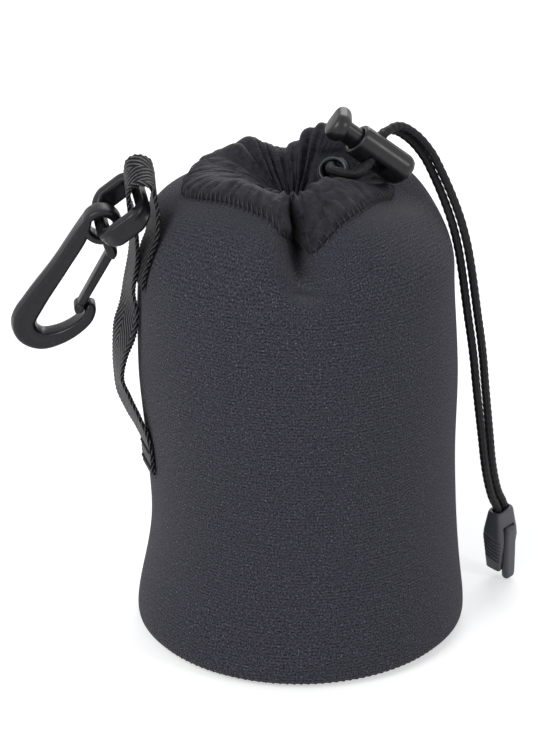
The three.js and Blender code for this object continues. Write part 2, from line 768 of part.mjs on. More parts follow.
let gripSolid = solidOf(gripShell).subtract(solidOf(gripBore)).subtract(solidOf(tongueBar(clearance)));
for (let i = 0; i < gripGrooves; i += 1) {
  const height = hipAlong * gripBase + (i - gripGrooves + 1) * gripPitch;
  const groove = plate(roundedRectangle(hipWidth, 2 * hipDepth, clearance), gripGrooveWidth, 0);
  [-1, 1].forEach((side) => {
    const reach = side * (hipWidth - gripGrooveDepth);
    gripSolid = gripSolid.subtract(solidOf(groove.clone().translate(reach, 0, height)));
  });
}
gripGroup.add(
  piece('cord_end_body', geometryOf(gripSolid), mattePlastic),
  piece('cord_end_tongue', tongueBar(0), mattePlastic),
);

// Ring and hook: x is to the right, y is up the loop and z is along the bars, toward the front.

const barForward = ringBarHeading.clone().normalize();
const barRight = new THREE.Vector3(1, 0, 0).addScaledVector(barForward, -barForward.x).normalize();
const barUp = barForward.clone().cross(barRight);
const ringGroup = new THREE.Group();
ringGroup.name = 'ring_and_hook';
framed(ringGroup, barRight, barUp, barForward, ringBar);

const ringOuter = roundedRectangle(
  ringReach + ringThickness,
  ringInnerWidth + 2 * ringThickness,
  ringCorner + ringThickness / 2,
);
ringOuter.holes.push(roundedRectangle(ringReach - ringThickness, ringInnerWidth, ringCorner / 2));
const hookRing = plate(ringOuter, ringBand, ringBevel)
  .rotateX(Math.PI / 2)
  .translate(ringReach / 2, 0, 0)
  .rotateZ(radians(ringSlope));

const hookGroup = new THREE.Group();
hookGroup.name = 'hook';
const farBar = new THREE.Vector2(ringReach, 0).rotateAround(new THREE.Vector2(), radians(ringSlope));
hookGroup.position.set(farBar.x, farBar.y, 0);

const hookCurve = new THREE.SplineCurve(hookLine);

function hookWidthAt(along) {
  const arm = THREE.MathUtils.lerp(spineWidth, armWidth, smooth(along, 0.45, 0.65));
  return THREE.MathUtils.lerp(arm, noseWidth, smooth(along, 0.7, 1));
}

function flangeWidthAt(along) {
  return hookWidthAt(along) + 2 * flangeWidth * Math.sin(Math.PI * along);
}

const eyeBore = Math.hypot(ringThickness / 2, ringBand / 2) + clearance - ringBevel / 3;
const eyeOutline = polygon(Math.max(eyeRadius, eyeBore + eyeWall), 28);
const lugWidth = 2 * (gateKnuckle + clearance + lugWall);
const lugLine = new THREE.LineCurve(new THREE.Vector2(eyeRadius - lugWidth / 2 - lugWall, 0), gatePivot);
const flangeLine = new THREE.SplineCurve(hookLine.slice(0, -2));
const bore = plate(polygon(eyeBore, 24), 2 * hookThickness, 0);
const knuckleRoom = plate(polygon(gateKnuckle + clearance, 20), 2 * hookThickness, 0)
  .translate(gatePivot.x, gatePivot.y, 0);

const gateLine = new THREE.LineCurve(gatePivot, gateTip);
const gateHeading = gateTip.clone().sub(gatePivot).normalize();
const gateInside = new THREE.Vector2(gateHeading.y, -gateHeading.x);

// The sector that the gate sweeps beside its knuckle, cut out of the lug so that the gate can turn in.
const sweepShape = new THREE.Shape([
  gatePivot.clone().addScaledVector(gateInside, -gateThickness / 2 - clearance),
  gatePivot.clone().addScaledVector(gateInside, lugWidth),
  gatePivot.clone().addScaledVector(gateInside, lugWidth).addScaledVector(gateHeading, lugWidth),
  gatePivot.clone().addScaledVector(gateInside, -gateThickness / 2 - clearance)
    .addScaledVector(gateHeading, lugWidth),
]);
const hookBody = geometryOf(
  solidOf(plate(barOutline(hookCurve, hookWidthAt, 26), hookThickness, hookBevel, 2))
    .add(solidOf(plate(barOutline(flangeLine, flangeWidthAt, 24), flangeThickness, 0)))
    .add(solidOf(plate(eyeOutline, hookThickness, hookBevel)))
    .add(solidOf(plate(barOutline(lugLine, () => lugWidth, 4), hookThickness, hookBevel / 2)))
    .subtract(solidOf(bore))
    .subtract(solidOf(knuckleRoom))
    .subtract(solidOf(plate(sweepShape, 2 * hookThickness, 0))),
);

// The gate is built about its own pivot.
const gateLocal = new THREE.LineCurve(new THREE.Vector2(), gateTip.clone().sub(gatePivot));
const gateBlade = plate(
  barOutline(gateLocal, (along) => gateThickness * (1 - 0.15 * along), 6),
  gateDepth,
  gateThickness / 5,
);
const hookGate = piece('hook_gate', geometryOf(
  solidOf(gateBlade).add(solidOf(plate(polygon(gateKnuckle, 20), gateDepth, gateThickness / 5))),
), glossPlastic);
hookGate.position.set(gateLine.v1.x, gateLine.v1.y, 0);
hookGroup.add(piece('hook_body', hookBody, glossPlastic), hookGate);
ringGroup.add(piece('hook_ring', hookRing, glossPlastic), hookGroup);

// Webbing strap: points of its middle line, each with the direction across the webbing.

const sewnOff = 2 * clearance + webbingThickness / 2;
const meetOff = sewnOff + webbingThickness + clearance;
const barRoom = eyeBore + webbingThickness / 2;
const outOfSide = new THREE.Vector3(Math.cos(radians(sewnAzimuth)), Math.sin(radians(sewnAzimuth)), 0);
const alongSide = new THREE.Vector3(-outOfSide.y, outOfSide.x, 0);

function besidePanel(height, off, twist) {
  const radius = panelRadiusAt(height) + off;
  const across = alongSide.clone().applyAxisAngle(new THREE.Vector3(0, 0, 1), radians(twist));
  const axisPoint = new THREE.Vector3(leanAt(height), 0, height);
  return { point: axisPoint.addScaledVector(outOfSide, radius), across };
}

function inLoop(right, up) {
  const point = ringBar.clone().addScaledVector(barRight, right).addScaledVector(barUp, up);
  return { point, across: barForward };
}

const bowRise = bowHeight - tailTop;
const bowFall = meetHeight - bowHeight;
const strapLine = [
  besidePanel(tailFoot, sewnOff, 0),
  besidePanel((tailFoot + tailTop) / 2, sewnOff, 0),
  besidePanel(tailTop, sewnOff, 0),
  besidePanel(tailTop + 0.35 * bowRise, 0.5 * bowStandOff, 0),
  besidePanel(tailTop + 0.7 * bowRise, 0.92 * bowStandOff, 0.3 * bowTwist),
  besidePanel(bowHeight, bowStandOff, 0.7 * bowTwist),
  besidePanel(bowHeight + 0.35 * bowFall, 0.8 * bowStandOff, bowTwist),
  besidePanel(bowHeight + 0.7 * bowFall, 0.5 * bowStandOff, 0.5 * bowTwist),
  besidePanel(meetHeight, meetOff, 0),
  besidePanel(partHeight, meetOff, 0),
  inLoop(-barRoom, 0),
  inLoop(-barRoom, loopHeadroom),
  inLoop(-0.7 * barRoom, loopHeadroom + 0.7 * barRoom),
  inLoop(0, loopHeadroom + barRoom),
  inLoop(0.7 * barRoom, loopHeadroom + 0.7 * barRoom),
  inLoop(barRoom, loopHeadroom),
  inLoop(barRoom, 0),
  besidePanel(partHeight, sewnOff, 0),
  besidePanel(meetHeight, sewnOff, 0),
  besidePanel(upperFoot, sewnOff, 0),
];
const strapPath = new THREE.CatmullRomCurve3(strapLine.map((s) => s.point), false, 'centripetal');
const strapAcross = new THREE.CatmullRomCurve3(strapLine.map((s) => s.across), false, 'centripetal');

const strapRings = Array.from({ length: strapSteps + 1 }, (_, i) => {
  const along = i / strapSteps;
  const middle = strapPath.getPoint(along);
  const tangent = strapPath.getTangent(along);
  const across = strapAcross.getPoint(along);
  across.addScaledVector(tangent, -across.dot(tangent)).normalize();
  const facing = tangent.clone().cross(across);
  const corners = [[1, 1], [-1, 1], [-1, -1], [1, -1]];
  return corners.map(([w, t]) => middle.clone()
    .addScaledVector(across, (w * webbingWidth) / 2)
    .addScaledVector(facing, (t * webbingThickness) / 2));
});

const pouch = new THREE.Group();
pouch.name = 'lens_pouch';
pouch.add(
  piece('body_panel', bodyPanel, knit),
  piece('base_disc', baseDisc, knit),
  piece('collar', collar, thinCloth),
  piece('eyelet', eyelet, darkMetal),
  piece('drawstring_loop', drawstringLoop, braid),
  piece('drawstring_front', strand(1), braid),
  piece('drawstring_back', strand(-1), braid),
  piece('webbing_strap', skin(strapRings, false), webbing),
  lockGroup,
  gripGroup,
  ringGroup,
);

export default pouch;
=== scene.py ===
"""A padded drawstring pouch for a camera lens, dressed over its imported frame.

Sizes are millimetres until a mesh is written. +Z is up, -Y is the front, the hook hangs at -X.
"""

import logging
import math
from dataclasses import dataclass
from enum import Enum
from functools import cached_property

import bpy
import numpy as np
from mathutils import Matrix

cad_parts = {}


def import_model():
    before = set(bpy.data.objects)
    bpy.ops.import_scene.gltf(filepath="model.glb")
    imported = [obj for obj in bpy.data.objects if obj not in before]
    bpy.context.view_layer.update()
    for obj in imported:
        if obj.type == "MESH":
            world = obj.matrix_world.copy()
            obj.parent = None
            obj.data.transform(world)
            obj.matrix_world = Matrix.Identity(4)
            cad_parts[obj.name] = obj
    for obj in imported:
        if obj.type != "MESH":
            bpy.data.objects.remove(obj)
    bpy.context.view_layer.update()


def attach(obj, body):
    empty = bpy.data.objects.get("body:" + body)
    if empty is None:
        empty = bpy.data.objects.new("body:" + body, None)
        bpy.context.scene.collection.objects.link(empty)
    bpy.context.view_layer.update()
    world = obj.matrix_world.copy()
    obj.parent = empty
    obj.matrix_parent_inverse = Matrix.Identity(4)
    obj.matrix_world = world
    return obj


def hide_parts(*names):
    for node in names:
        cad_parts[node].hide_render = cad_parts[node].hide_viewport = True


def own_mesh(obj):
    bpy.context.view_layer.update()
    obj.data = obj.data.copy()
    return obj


LOG = logging.getLogger("lens_pouch")
MM = 0.001
Array = np.ndarray
Socket = bpy.types.NodeSocket
Span = tuple[float, float]
Point = tuple[float, float, float]
Points = tuple[tuple[float, ...], ...]


class Slot(Enum):
    """The record's material slots."""

    KNIT = "knit"
    THIN_CLOTH = "thin_cloth"
    BRAID = "braid"
    WEBBING = "webbing"
    GLOSS_PLASTIC = "gloss_plastic"
    MATTE_PLASTIC = "matte_plastic"
    DARK_METAL = "dark_metal"
    SPRING_STEEL = "spring_steel"


class Body(Enum):
    """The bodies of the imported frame."""

    POUCH = "pouch"
    PLUNGER = "plunger"
    RING = "ring"
    HOOK = "hook"
    GATE = "gate"


# Numbers and lines


def smoothstep(x: Array, low: float, high: float) -> Array:
    """Cubic step 3t^2 - 2t^3 of the share t of the way from low to high, held at 0 and 1 outside."""
    t = np.clip((np.asarray(x, float) - low) / (high - low), 0, 1)
    return t * t * (3 - 2 * t)


def fade(x: Array, low: float, high: float) -> Array:
    """Smooth step down, from 1 at low to 0 at high."""
    return 1 - smoothstep(x, low, high)


def bell(x: Array, spread: Array) -> Array:
    """Bell curve: exp of minus the square of x over the spread."""
    return np.exp(-((x / spread) ** 2))


def unit(v: Array) -> Array:
    """Vectors over their own length, along the last axis."""
    return v / np.maximum(np.linalg.norm(v, axis=-1, keepdims=True), 1e-12)


def lengths(line: Array) -> Array:
    """Distance along a line of points to each of its points, from 0."""
    return np.concatenate([[0], np.cumsum(np.linalg.norm(np.diff(line, axis=0), axis=1))])


def circle(count: int) -> Array:
    """Even angles of one turn in radians, without the last."""
    return np.linspace(0, 2 * np.pi, count, endpoint=False)


def heading(turn: Array) -> Array:
    """Cosine and sine of angles in radians, on a new last axis."""
    return np.stack([np.cos(turn), np.sin(turn)], -1)


def facing(grid: Array) -> Array:
    """Cross product of the steps down the rows and across two of the closed columns of a grid."""
    return np.cross(np.gradient(grid, axis=0), np.roll(grid, -1, 1) - np.roll(grid, 1, 1))


def spline(points: Points, count: int, power: float = 0.5, clamp: bool = False) -> Array:
    """Catmull-Rom line: each stretch is a cubic whose end slopes come from its neighbours' spacing.

    Args:
        points: Points that the line goes through.
        count: Number of samples, evenly in the parameter.
        power: Exponent on the spacing, 0.5 for centripetal and 0 for uniform.
        clamp: Repeats the end points instead of carrying the line on past them.

    Returns:
        Samples, one row each.
    """
    p = np.asarray(points, float)
    ends = (p[:1], p[-1:]) if clamp else (2 * p[:1] - p[1:2], 2 * p[-1:] - p[-2:-1])
    p = np.concatenate([ends[0], p, ends[1]])
    at = np.linspace(0, len(p) - 3, count)
    i = np.minimum(at.astype(int), len(p) - 4)
    t = (at - i)[:, None]
    gap = np.linalg.norm(np.diff(p, axis=0), axis=1)[:, None] ** power
    gap = np.where(gap < 1e-9, 1, gap)
    x0, x1, x2, x3 = (p[i + k] for k in range(4))
    d0, d1, d2 = (gap[i + k] for k in range(3))
    s1 = d1 * ((x1 - x0) / d0 - (x2 - x0) / (d0 + d1) + (x2 - x1) / d1)
    s2 = d1 * ((x2 - x1) / d1 - (x3 - x1) / (d1 + d2) + (x3 - x2) / d2)
    c2 = -3 * x1 + 3 * x2 - 2 * s1 - s2
    c3 = 2 * x1 - 2 * x2 + s1 + s2
    return x1 + s1 * t + c2 * t**2 + c3 * t**3


def even(line: Array, count: int, *others: Array) -> list[Array]:
    """Samples a line, and arrays that go with it, at equal distances.

    Args:
        line: Points of the line.
        count: Number of samples.
        *others: Arrays with a row for each point of the line.

    Returns:
        The resampled line, then each of the others.
    """
    run = lengths(line)
    at = np.linspace(0, run[-1], count)
    return [np.stack([np.interp(at, run, column) for column in a.T], 1) for a in (line, *others)]


def bend(start: Array, leaving: Point, finish: Array, arriving: Point, handles: Span) -> Array:
    """A cubic Bezier bend that leaves one point along a direction and reaches another along its own.

    Args:
        start: First point.
        leaving: Direction at the first point.
        finish: Last point.
        arriving: Direction at the last point.
        handles: Lengths of the two handles.

    Returns:
        Samples, one row each.
    """
    t = np.linspace(0, 1, 400)[:, None]
    first = start + handles[0] * unit(np.array(leaving))
    last = finish - handles[1] * unit(np.array(arriving))
    return (1 - t) ** 3 * start + 3 * (1 - t) ** 2 * t * first + 3 * (1 - t) * t**2 * last + t**3 * finish


def crossways(line: Array, hint: Array) -> tuple[Array, Array]:
    """Two directions square to a line: the hint turned square to the tangent, and their cross product.

    Args:
        line: Points of the line.
        hint: One direction, or one for each point.

    Returns:
        The side and up directions at each point.
    """
    tangent = unit(np.gradient(line, axis=0))
    hint = np.broadcast_to(hint, line.shape)
    side = unit(hint - tangent * np.sum(hint * tangent, axis=1, keepdims=True))
    return side, np.cross(tangent, side)


def sweep(line: Array, side: Array, up: Array, section: Array) -> Array:
    """Carries a section along a line, whole or one for each point: line + side * first + up * second."""
    side, up = (np.broadcast_to(way, line.shape)[:, None] for way in (side, up))
    return line[:, None] + section[..., :1] * side + section[..., 1:] * up


def planar(line: Array, section: Array) -> Array:
    """Carries a section along a line in a plane, with its second coordinate out of the plane."""
    flat, up = np.pad(line, ((0, 0), (0, 1))), (0, 0, 1)
    return sweep(flat, np.cross(up, unit(np.gradient(flat, axis=0))), up, section)


def lathe(section: Array, count: int, size: Span = (0.0, 0.0)) -> Array:
    """Grid of ellipses, one for each pair of a section: half the size plus the first, at the second."""
    flat = (np.array(size) / 2 + section[:, None, :1]) * heading(circle(count))
    return np.concatenate([flat, section[:, None, 1:] + 0 * flat[..., :1]], -1)


def superoval(width: Array, height: Array, power: float, count: int, start: float = 0.0) -> Array:
    """Rounded rectangle: cosine and sine raised to 2 / power, times half the width and height.

    Args:
        width: Full width, a number or one for each row.
        height: Full height, likewise.
        power: 2 is an ellipse; more is squarer.
        count: Points round it.
        start: Turn of the first point, in radians.

    Returns:
        Points (rows, count, 2), with one row for plain numbers.
    """
    way = heading(start + circle(count))
    half = np.stack(np.broadcast_arrays(np.atleast_1d(width), height), -1)[:, None] / 2
    return half * np.sign(way) * np.abs(way) ** (2 / power)


# Meshes


@dataclass(frozen=True)
class Place:
    """An origin and three directions in the row frame, for pieces that are drawn about their own axes."""

    origin: Point
    x: Point
    y: Point
    z: Point

    def out(self, local: Array) -> Array:
        """Points given along the three directions, in the row frame."""
        return np.asarray(self.origin) + np.asarray(local, float) @ np.array([self.x, self.y, self.z])

    def moved(self, x: float, y: float) -> "Place":
        """The same directions at another origin, given along the first two."""
        return Place(tuple(self.out((x, y, 0))), self.x, self.y, self.z)


@dataclass
class Patch:
    """A grid of points, or several equal grids, that makes one closed surface each.

    Columns close on themselves. Rows do too, or end in a flat cap each. u holds the UV value of each line
    between columns, in millimetres; without it, distances along the longest row are taken.
    """

    points: Array
    closed_rows: bool = False
    u: Array | None = None

    def faces(self) -> tuple[list[list[int]], Array]:
        """Faces that point outwards, by the sign of the volume that they enclose.

        Returns:
            Lists of vertex numbers, and a UV pair in millimetres for each of their corners in turn.
        """
        grid = self.points.reshape(-1, *self.points.shape[-3:])
        first, (copies, rows, cols) = grid[0], grid.shape[:3]
        i, j = np.indices((rows - 1 + self.closed_rows, cols))
        near, far, beside = i * cols, (i + 1) % rows * cols, (j + 1) % cols
        quads = np.stack([near + j, near + beside, far + beside, far + j], -1).reshape(-1, 4)
        around = np.linalg.norm(np.roll(first, -1, 1) - first, axis=2)
        u = np.append(0, np.cumsum(around[np.argmax(around.sum(1))])) if self.u is None else self.u
        v = lengths(np.concatenate([first[:, 0], first[:1, 0]]))
        uv = np.stack([np.stack([u[j + a], v[i + b]], -1) for a, b in ((0, 0), (1, 0), (1, 1), (0, 1))], -2)
        uv = uv.reshape(-1, 4, 2)
        ring = np.arange(cols)
        caps = np.stack([ring[::-1], (rows - 1) * cols + ring])[: 0 if self.closed_rows else 2]
        flat = (first - first.mean((0, 1))).reshape(-1, 3)
        volume = 0.0
        for some in (quads, caps):
            volume += np.sum(flat[some[:, :1]] * np.cross(flat[some[:, 1:-1]], flat[some[:, 2:]]))
        if volume < 0:
            quads, uv, caps = quads[:, ::-1], uv[:, ::-1], caps[:, ::-1]
        step = (np.arange(copies) * rows * cols)[:, None, None]
        faces = (quads + step).reshape(-1, 4).tolist() + (caps + step).reshape(-1, cols).tolist()
        uv = np.tile(uv.reshape(-1, 2), (copies, 1))
        return faces, np.concatenate([uv, np.zeros((copies * caps.size, 2))])


def linked(name: str, data: bpy.types.ID) -> bpy.types.Object:
    """Puts some data into the scene as a new object.

    Args:
        name: Name of the object.
        data: Mesh, light or camera.

    Returns:
        The object.
    """
    made = bpy.data.objects.new(name, data)
    bpy.context.scene.collection.objects.link(made)
    return made


@dataclass
class Assembly:
    """A sub-assembly: it builds its pieces and dresses them in the finishes of the record's slots."""

    finishes: dict[Slot, bpy.types.Material]

    def piece(
        self,
        name: str,
        patches: list[Patch],
        slot: Slot,
        node: str = "",
        body: Body = Body.POUCH,
        crease: float = 180.0,
        finish: bpy.types.Material | None = None,
    ) -> bpy.types.Object:
        """Makes one object of closed surfaces, in a finish, on a body.

        Args:
            name: Name of the object.
            patches: Its surfaces.
            slot: Slot whose finish it takes.
            node: CAD node that it stands for.
            body: Body that it rides on.
            crease: Angle in degrees past which an edge stays sharp.
            finish: Finish to take in place of the slot's.

        Returns:
            The new object.
        """
        points = [patch.points.reshape(-1, 3) for patch in patches]
        parts = [patch.faces() for patch in patches]
        starts = np.cumsum([0, *map(len, points)]).tolist()
        faces = [[k + start for k in face] for (some, _), start in zip(parts, starts) for face in some]
        mesh = bpy.data.meshes.new(name)
        mesh.from_pydata((np.concatenate(points) * MM).tolist(), [], faces)
        corners = np.concatenate([uv for _, uv in parts])
        mesh.uv_layers.new(name="surface").uv.foreach_set("vector", corners.ravel())
        mesh.polygons.foreach_set("use_smooth", np.ones(len(faces), bool))
        if crease < 180:
            mesh.set_sharp_from_angle(angle=math.radians(crease))
        mesh.materials.append(finish or self.finishes[slot])
        mesh.update()
        made = linked(name, mesh)
        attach(made, body.value)
        if node:
            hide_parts(node)
        LOG.info("%s: %d faces on %s", name, len(faces), body.value)
        return made


# Finishes


def linear(colour: str) -> tuple[float, float, float, float]:
    """An sRGB hex colour as the linear values that a shader takes.

    Args:
        colour: Such as "#33323C".

    Returns:
        Linear red, green and blue, and an alpha of 1.
    """
    parts = np.array([int(colour[k : k + 2], 16) / 255 for k in (1, 3, 5)])
    parts = np.where(parts <= 0.04045, parts / 12.92, ((parts + 0.055) / 1.055) ** 2.4)
    return (*parts.tolist(), 1.0)


@dataclass
class Nodes:
    """A node tree to fill. Each method adds a node and gives its output."""

    tree: bpy.types.NodeTree

    @classmethod
    def of(cls, owner: bpy.types.Material | bpy.types.World) -> "Nodes":
        """The cleared tree of a material or world.

        Args:
            owner: Material or world.

        Returns:
            The empty tree.
        """
        owner.use_nodes = True
        owner.node_tree.nodes.clear()
        return cls(owner.node_tree)

    def add(self, kind: str, inputs: dict, out: int | str = 0, **settings: object) -> Socket | None:
        """Adds a node with its settings, and fills its inputs with values or links.

        Args:
            kind: Node type after "ShaderNode".
            inputs: Values, hex colours or sockets by input name or number.
            out: Output to give, by name or number.
            **settings: Properties of the node.

        Returns:
            The output, if the node has any.
        """
        made = self.tree.nodes.new("ShaderNode" + kind)
        for key, value in settings.items():
            setattr(made, key, value)
        for key, value in inputs.items():
            if isinstance(value, Socket):
                self.tree.links.new(value, made.inputs[key])
            else:
                made.inputs[key].default_value = linear(value) if isinstance(value, str) else value
        return made.outputs[out] if len(made.outputs) else None

    def math(self, operation: str, *values: Socket | float) -> Socket:
        """An operation on one to three values."""
        return self.add("Math", dict(enumerate(values)), operation=operation)

    def ramp(self, value: Socket, *ends: float) -> Socket:
        """A value carried from between the first two numbers to between the next two, or to 0 and 1."""
        return self.add("MapRange", dict(enumerate((value, *ends))))

    def mix(self, share: Socket, first: Socket | str, second: Socket | str) -> Socket:
        """A colour between two, by the share of the second."""
        return self.add("Mix", {0: share, 6: first, 7: second}, 2, data_type="RGBA")

    def surface(self) -> Socket:
        """The mesh's own UV pairs, which are in millimetres."""
        return self.add("UVMap", {}, uv_map="surface")

    def noise(self, vector: Socket, scale: float, detail: float = 2.0, distortion: float = 0.0) -> Socket:
        """Cloudy noise, with that many cells for each unit of the vector."""
        values = {"Vector": vector, "Scale": scale, "Detail": detail, "Distortion": distortion}
        return self.add("TexNoise", values, "Fac")

    def wave(self, period: float, way: str, distortion: float, detail: float = 2, fine: float = 1) -> Socket:
        """Bands across the surface that repeat every so many millimetres.

        Args:
            period: Distance between bands.
            way: Direction of the bands, as the node names it.
            distortion: How far they wander.
            detail: Octaves of the wandering.
            fine: Scale of the wandering.

        Returns:
            The height of the bands, 0 to 1.
        """
        values = {"Vector": self.surface(), "Scale": 2 * math.pi / (20 * period)}
        values |= {"Distortion": distortion, "Detail": detail, "Detail Scale": fine}
        return self.add("TexWave", values, "Fac", bands_direction=way)


@dataclass(frozen=True)
class Finish:
    """A finish: its material's name, and the values of its shader that are the same all over."""

    name: str
    colour: str
    second: str
    roughness: float
    specular: float = 0.5
    metallic: float = 0.0
    sheen: float = 0.0
    relief: float = 0.05

    def material(self) -> bpy.types.Material:
        """The finish as a material.

        Returns:
            A material whose colour, roughness and height come from its pattern.
        """
        made = bpy.data.materials.new(self.name)
        nodes = Nodes.of(made)
        colour, rough, height = self.pattern(nodes)
        bump = nodes.add("Bump", {"Height": height, "Distance": self.relief * MM, "Strength": 1.0})
        shader = nodes.add(
            "BsdfPrincipled",
            {
                "Base Color": colour,
                "Roughness": rough,
                "Normal": bump,
                "Metallic": self.metallic,
                "Specular IOR Level": self.specular,
                "Sheen Weight": self.sheen,
                "Sheen Roughness": 0.5,
            },
        )
        nodes.add("OutputMaterial", {"Surface": shader})
        return made

    def pattern(self, nodes: Nodes) -> tuple[Socket, Socket, Socket]:
        """Colour, roughness and height of the finish."""
        raise NotImplementedError


@dataclass(frozen=True)
class JerseyKnit(Finish):
    """Jersey bonded to foam: fine rows of loops round the pouch, peppered by dark and pale fibres."""

    row: float = 0.98
    fibre: float = 0.5
    pepper: float = 0.52
    cloud: float = 28.0
    shade: str = "#1D1D20"
    pale: str = "#83828C"

    def pattern(self, nodes: Nodes) -> tuple[Socket, Socket, Socket]:
        """Rows of loops, a mix of dark and pale fibres, and specks where fine noise peaks.

        Args:
            nodes: Tree to fill.

        Returns:
            Colour, roughness and height.
        """
        uv = nodes.surface()
        speck, grain, broad = (nodes.noise(uv, 1 / size) for size in (self.fibre, self.pepper, self.cloud))
        rows = nodes.wave(self.row, "Y", 1.6, fine=1.8)
        loops = nodes.math("MULTIPLY_ADD", rows, 0.3, nodes.ramp(grain, 0.36, 0.64))
        tone = nodes.ramp(loops, 0.05, 1.25)
        mixed = nodes.mix(tone, nodes.mix(broad, self.colour, self.shade), self.second)
        colour = nodes.mix(nodes.ramp(speck, 0.61, 0.74, 0.0, 0.9), mixed, self.pale)
        rough = nodes.ramp(speck, 0.3, 0.7, self.roughness, 0.8)
        return colour, rough, nodes.math("MULTIPLY_ADD", grain, 1.2, loops)


@dataclass(frozen=True)
class PlainWeave(Finish):
    """Thin calendered cloth: a close plain weave, drawn twice its real size to show, with a faint lustre."""

    thread: float = 0.55

    def pattern(self, nodes: Nodes) -> tuple[Socket, Socket, Socket]:
        """Warp and weft, and the fine crumple that handling leaves.

        Args:
            nodes: Tree to fill.

        Returns:
            Colour, roughness and height.
        """
        weave = nodes.math("MULTIPLY", *(nodes.wave(self.thread, way, 0.8) for way in "XY"))
        crumple = nodes.noise(nodes.add("TexCoord", {}, "Object"), 420.0, 3.0, 0.8)
        tone = nodes.ramp(nodes.math("MULTIPLY_ADD", weave, 0.25, crumple), 0.35, 0.85)
        rough = nodes.ramp(crumple, 0.0, 1.0, self.roughness - 0.1, self.roughness + 0.15)
        height = nodes.math("MULTIPLY_ADD", weave, 0.12, crumple)
        return nodes.mix(tone, self.colour, self.second), rough, height


@dataclass(frozen=True)
class BraidedCord(Finish):
    """Braided polyester: the plaits stand in the mesh, and the glints of light on stray filaments are painted
    on them as pale specks.
    """

    fibre: float = 0.34
    filament: float = 0.3
    shade: str = "#232326"

    def pattern(self, nodes: Nodes) -> tuple[Socket, Socket, Socket]:
        """Filaments along each plait, and pale specks that are painted glints.

        Args:
            nodes: Tree to fill.

        Returns:
            Colour, roughness and height.
        """
        speck = nodes.noise(nodes.surface(), 1 / self.fibre)
        strands = nodes.wave(self.filament, "DIAGONAL", 2.0, 1.0)
        # Painted glints: where fine noise peaks, the pale second colour stands in for light caught by stray
        # filaments.
        painted_glints = nodes.ramp(speck, 0.6, 0.76, 0.0, 0.8)
        colour = nodes.mix(painted_glints, nodes.mix(strands, self.colour, self.shade), self.second)
        return colour, nodes.ramp(speck, 0.0, 1.0, self.roughness - 0.15, self.roughness + 0.1), strands


@dataclass(frozen=True)
class TwillWebbing(Finish):
    """Nylon webbing in herringbone twill: slanted ribs that meet in points, with a painted highlight on each
    rib's crown.
    """

    rib: float = 2.1
    column: float = 6.0
    slant: float = 1.5

    def pattern(self, nodes: Nodes) -> tuple[Socket, Socket, Socket]:
        """Ribs whose phase is the length plus the distance from the nearest column's edge, with their crowns
        painted lighter as a highlight.

        Args:
            nodes: Tree to fill.

        Returns:
            Colour, roughness and height.
        """
        uv = nodes.surface()
        across, along = (nodes.add("SeparateXYZ", {0: uv}, k) for k in (0, 1))
        fold = nodes.math("PINGPONG", across, self.column)
        phase = nodes.math("MULTIPLY_ADD", fold, self.slant, along)
        rib = nodes.math("SINE", nodes.math("MULTIPLY", phase, 2 * math.pi / self.rib))
        yarn, crown = nodes.noise(uv, 2.4), nodes.ramp(rib, -0.4, 0.9)
        # Painted highlight: the rib crowns, broken up by yarn noise, are painted in the pale second colour.
        painted_rib_highlight = nodes.ramp(nodes.math("MULTIPLY", crown, yarn), 0.2, 0.55)
        rough = nodes.ramp(yarn, 0.0, 1.0, self.roughness - 0.12, self.roughness + 0.2)
        return nodes.mix(painted_rib_highlight, self.colour, self.second), rough, nodes.math("MULTIPLY_ADD", yarn, 0.5, crown)


@dataclass(frozen=True)
class Moulded(Finish):
    """A moulded or plated surface: a fine grain, soft clouding and faint scuffs from use."""

    relief: float = 0.012
    grain: float = 0.35
    scuffs: Point = (900.0, 200.0, 500.0)
    worn: str = "#4C4C50"

    def pattern(self, nodes: Nodes) -> tuple[Socket, Socket, Socket]:
        """Grain on the surface, cloudy tone, and scuffs where stretched noise peaks.

        Args:
            nodes: Tree to fill.

        Returns:
            Colour, roughness and height.
        """
        place = nodes.add("TexCoord", {}, "Object")
        cloud = nodes.noise(place, 160.0, 3.0)
        scuff = nodes.noise(nodes.add("Mapping", {"Vector": place, "Scale": self.scuffs}), 1.0, 4.0, 1.0)
        share = nodes.ramp(scuff, 0.62, 0.8, 0.0, 0.5)
        colour = nodes.mix(share, nodes.mix(cloud, self.colour, self.second), self.worn)
        dull = nodes.math("MULTIPLY_ADD", share, 0.5, cloud)
        rough = nodes.ramp(dull, 0.2, 0.9, self.roughness - 0.08, self.roughness + 0.14)
        return colour, rough, nodes.noise(place, 1 / (self.grain * MM))


FINISHES: dict[Slot, Finish] = {
    Slot.KNIT: JerseyKnit("jersey_knit_over_foam", "#17161B", "#4C4B56", 0.95, 0.1, sheen=0.1, relief=0.1),
    Slot.THIN_CLOTH: PlainWeave(
        "calendered_plain_weave_cloth", "#17161B", "#34333C", 0.6, 0.18, sheen=0.05, relief=0.7
    ),
    # The cord's second colour is the colour of its painted glints.
    Slot.BRAID: BraidedCord("braided_polyester_cord", "#070708", "#58585A", 0.6, 0.22),
    # The webbing's second colour is the colour of its painted rib highlight.
    Slot.WEBBING: TwillWebbing("herringbone_nylon_webbing", "#020203", "#69696C", 0.42, 0.15, relief=0.4),
    Slot.GLOSS_PLASTIC: Moulded("moulded_black_acetal", "#111114", "#1B1B1F", 0.3, 0.32),
    Slot.MATTE_PLASTIC: Moulded("moulded_grey_nylon", "#505056", "#5C5C62", 0.5, 0.35, relief=0.03),
    Slot.DARK_METAL: Moulded("black_nickel_plated_brass", "#3A3C40", "#54565A", 0.4, metallic=0.9),
    Slot.SPRING_STEEL: Moulded("spring_steel_wire", "#8F9194", "#A8AAAC", 0.32, metallic=1.0),
}
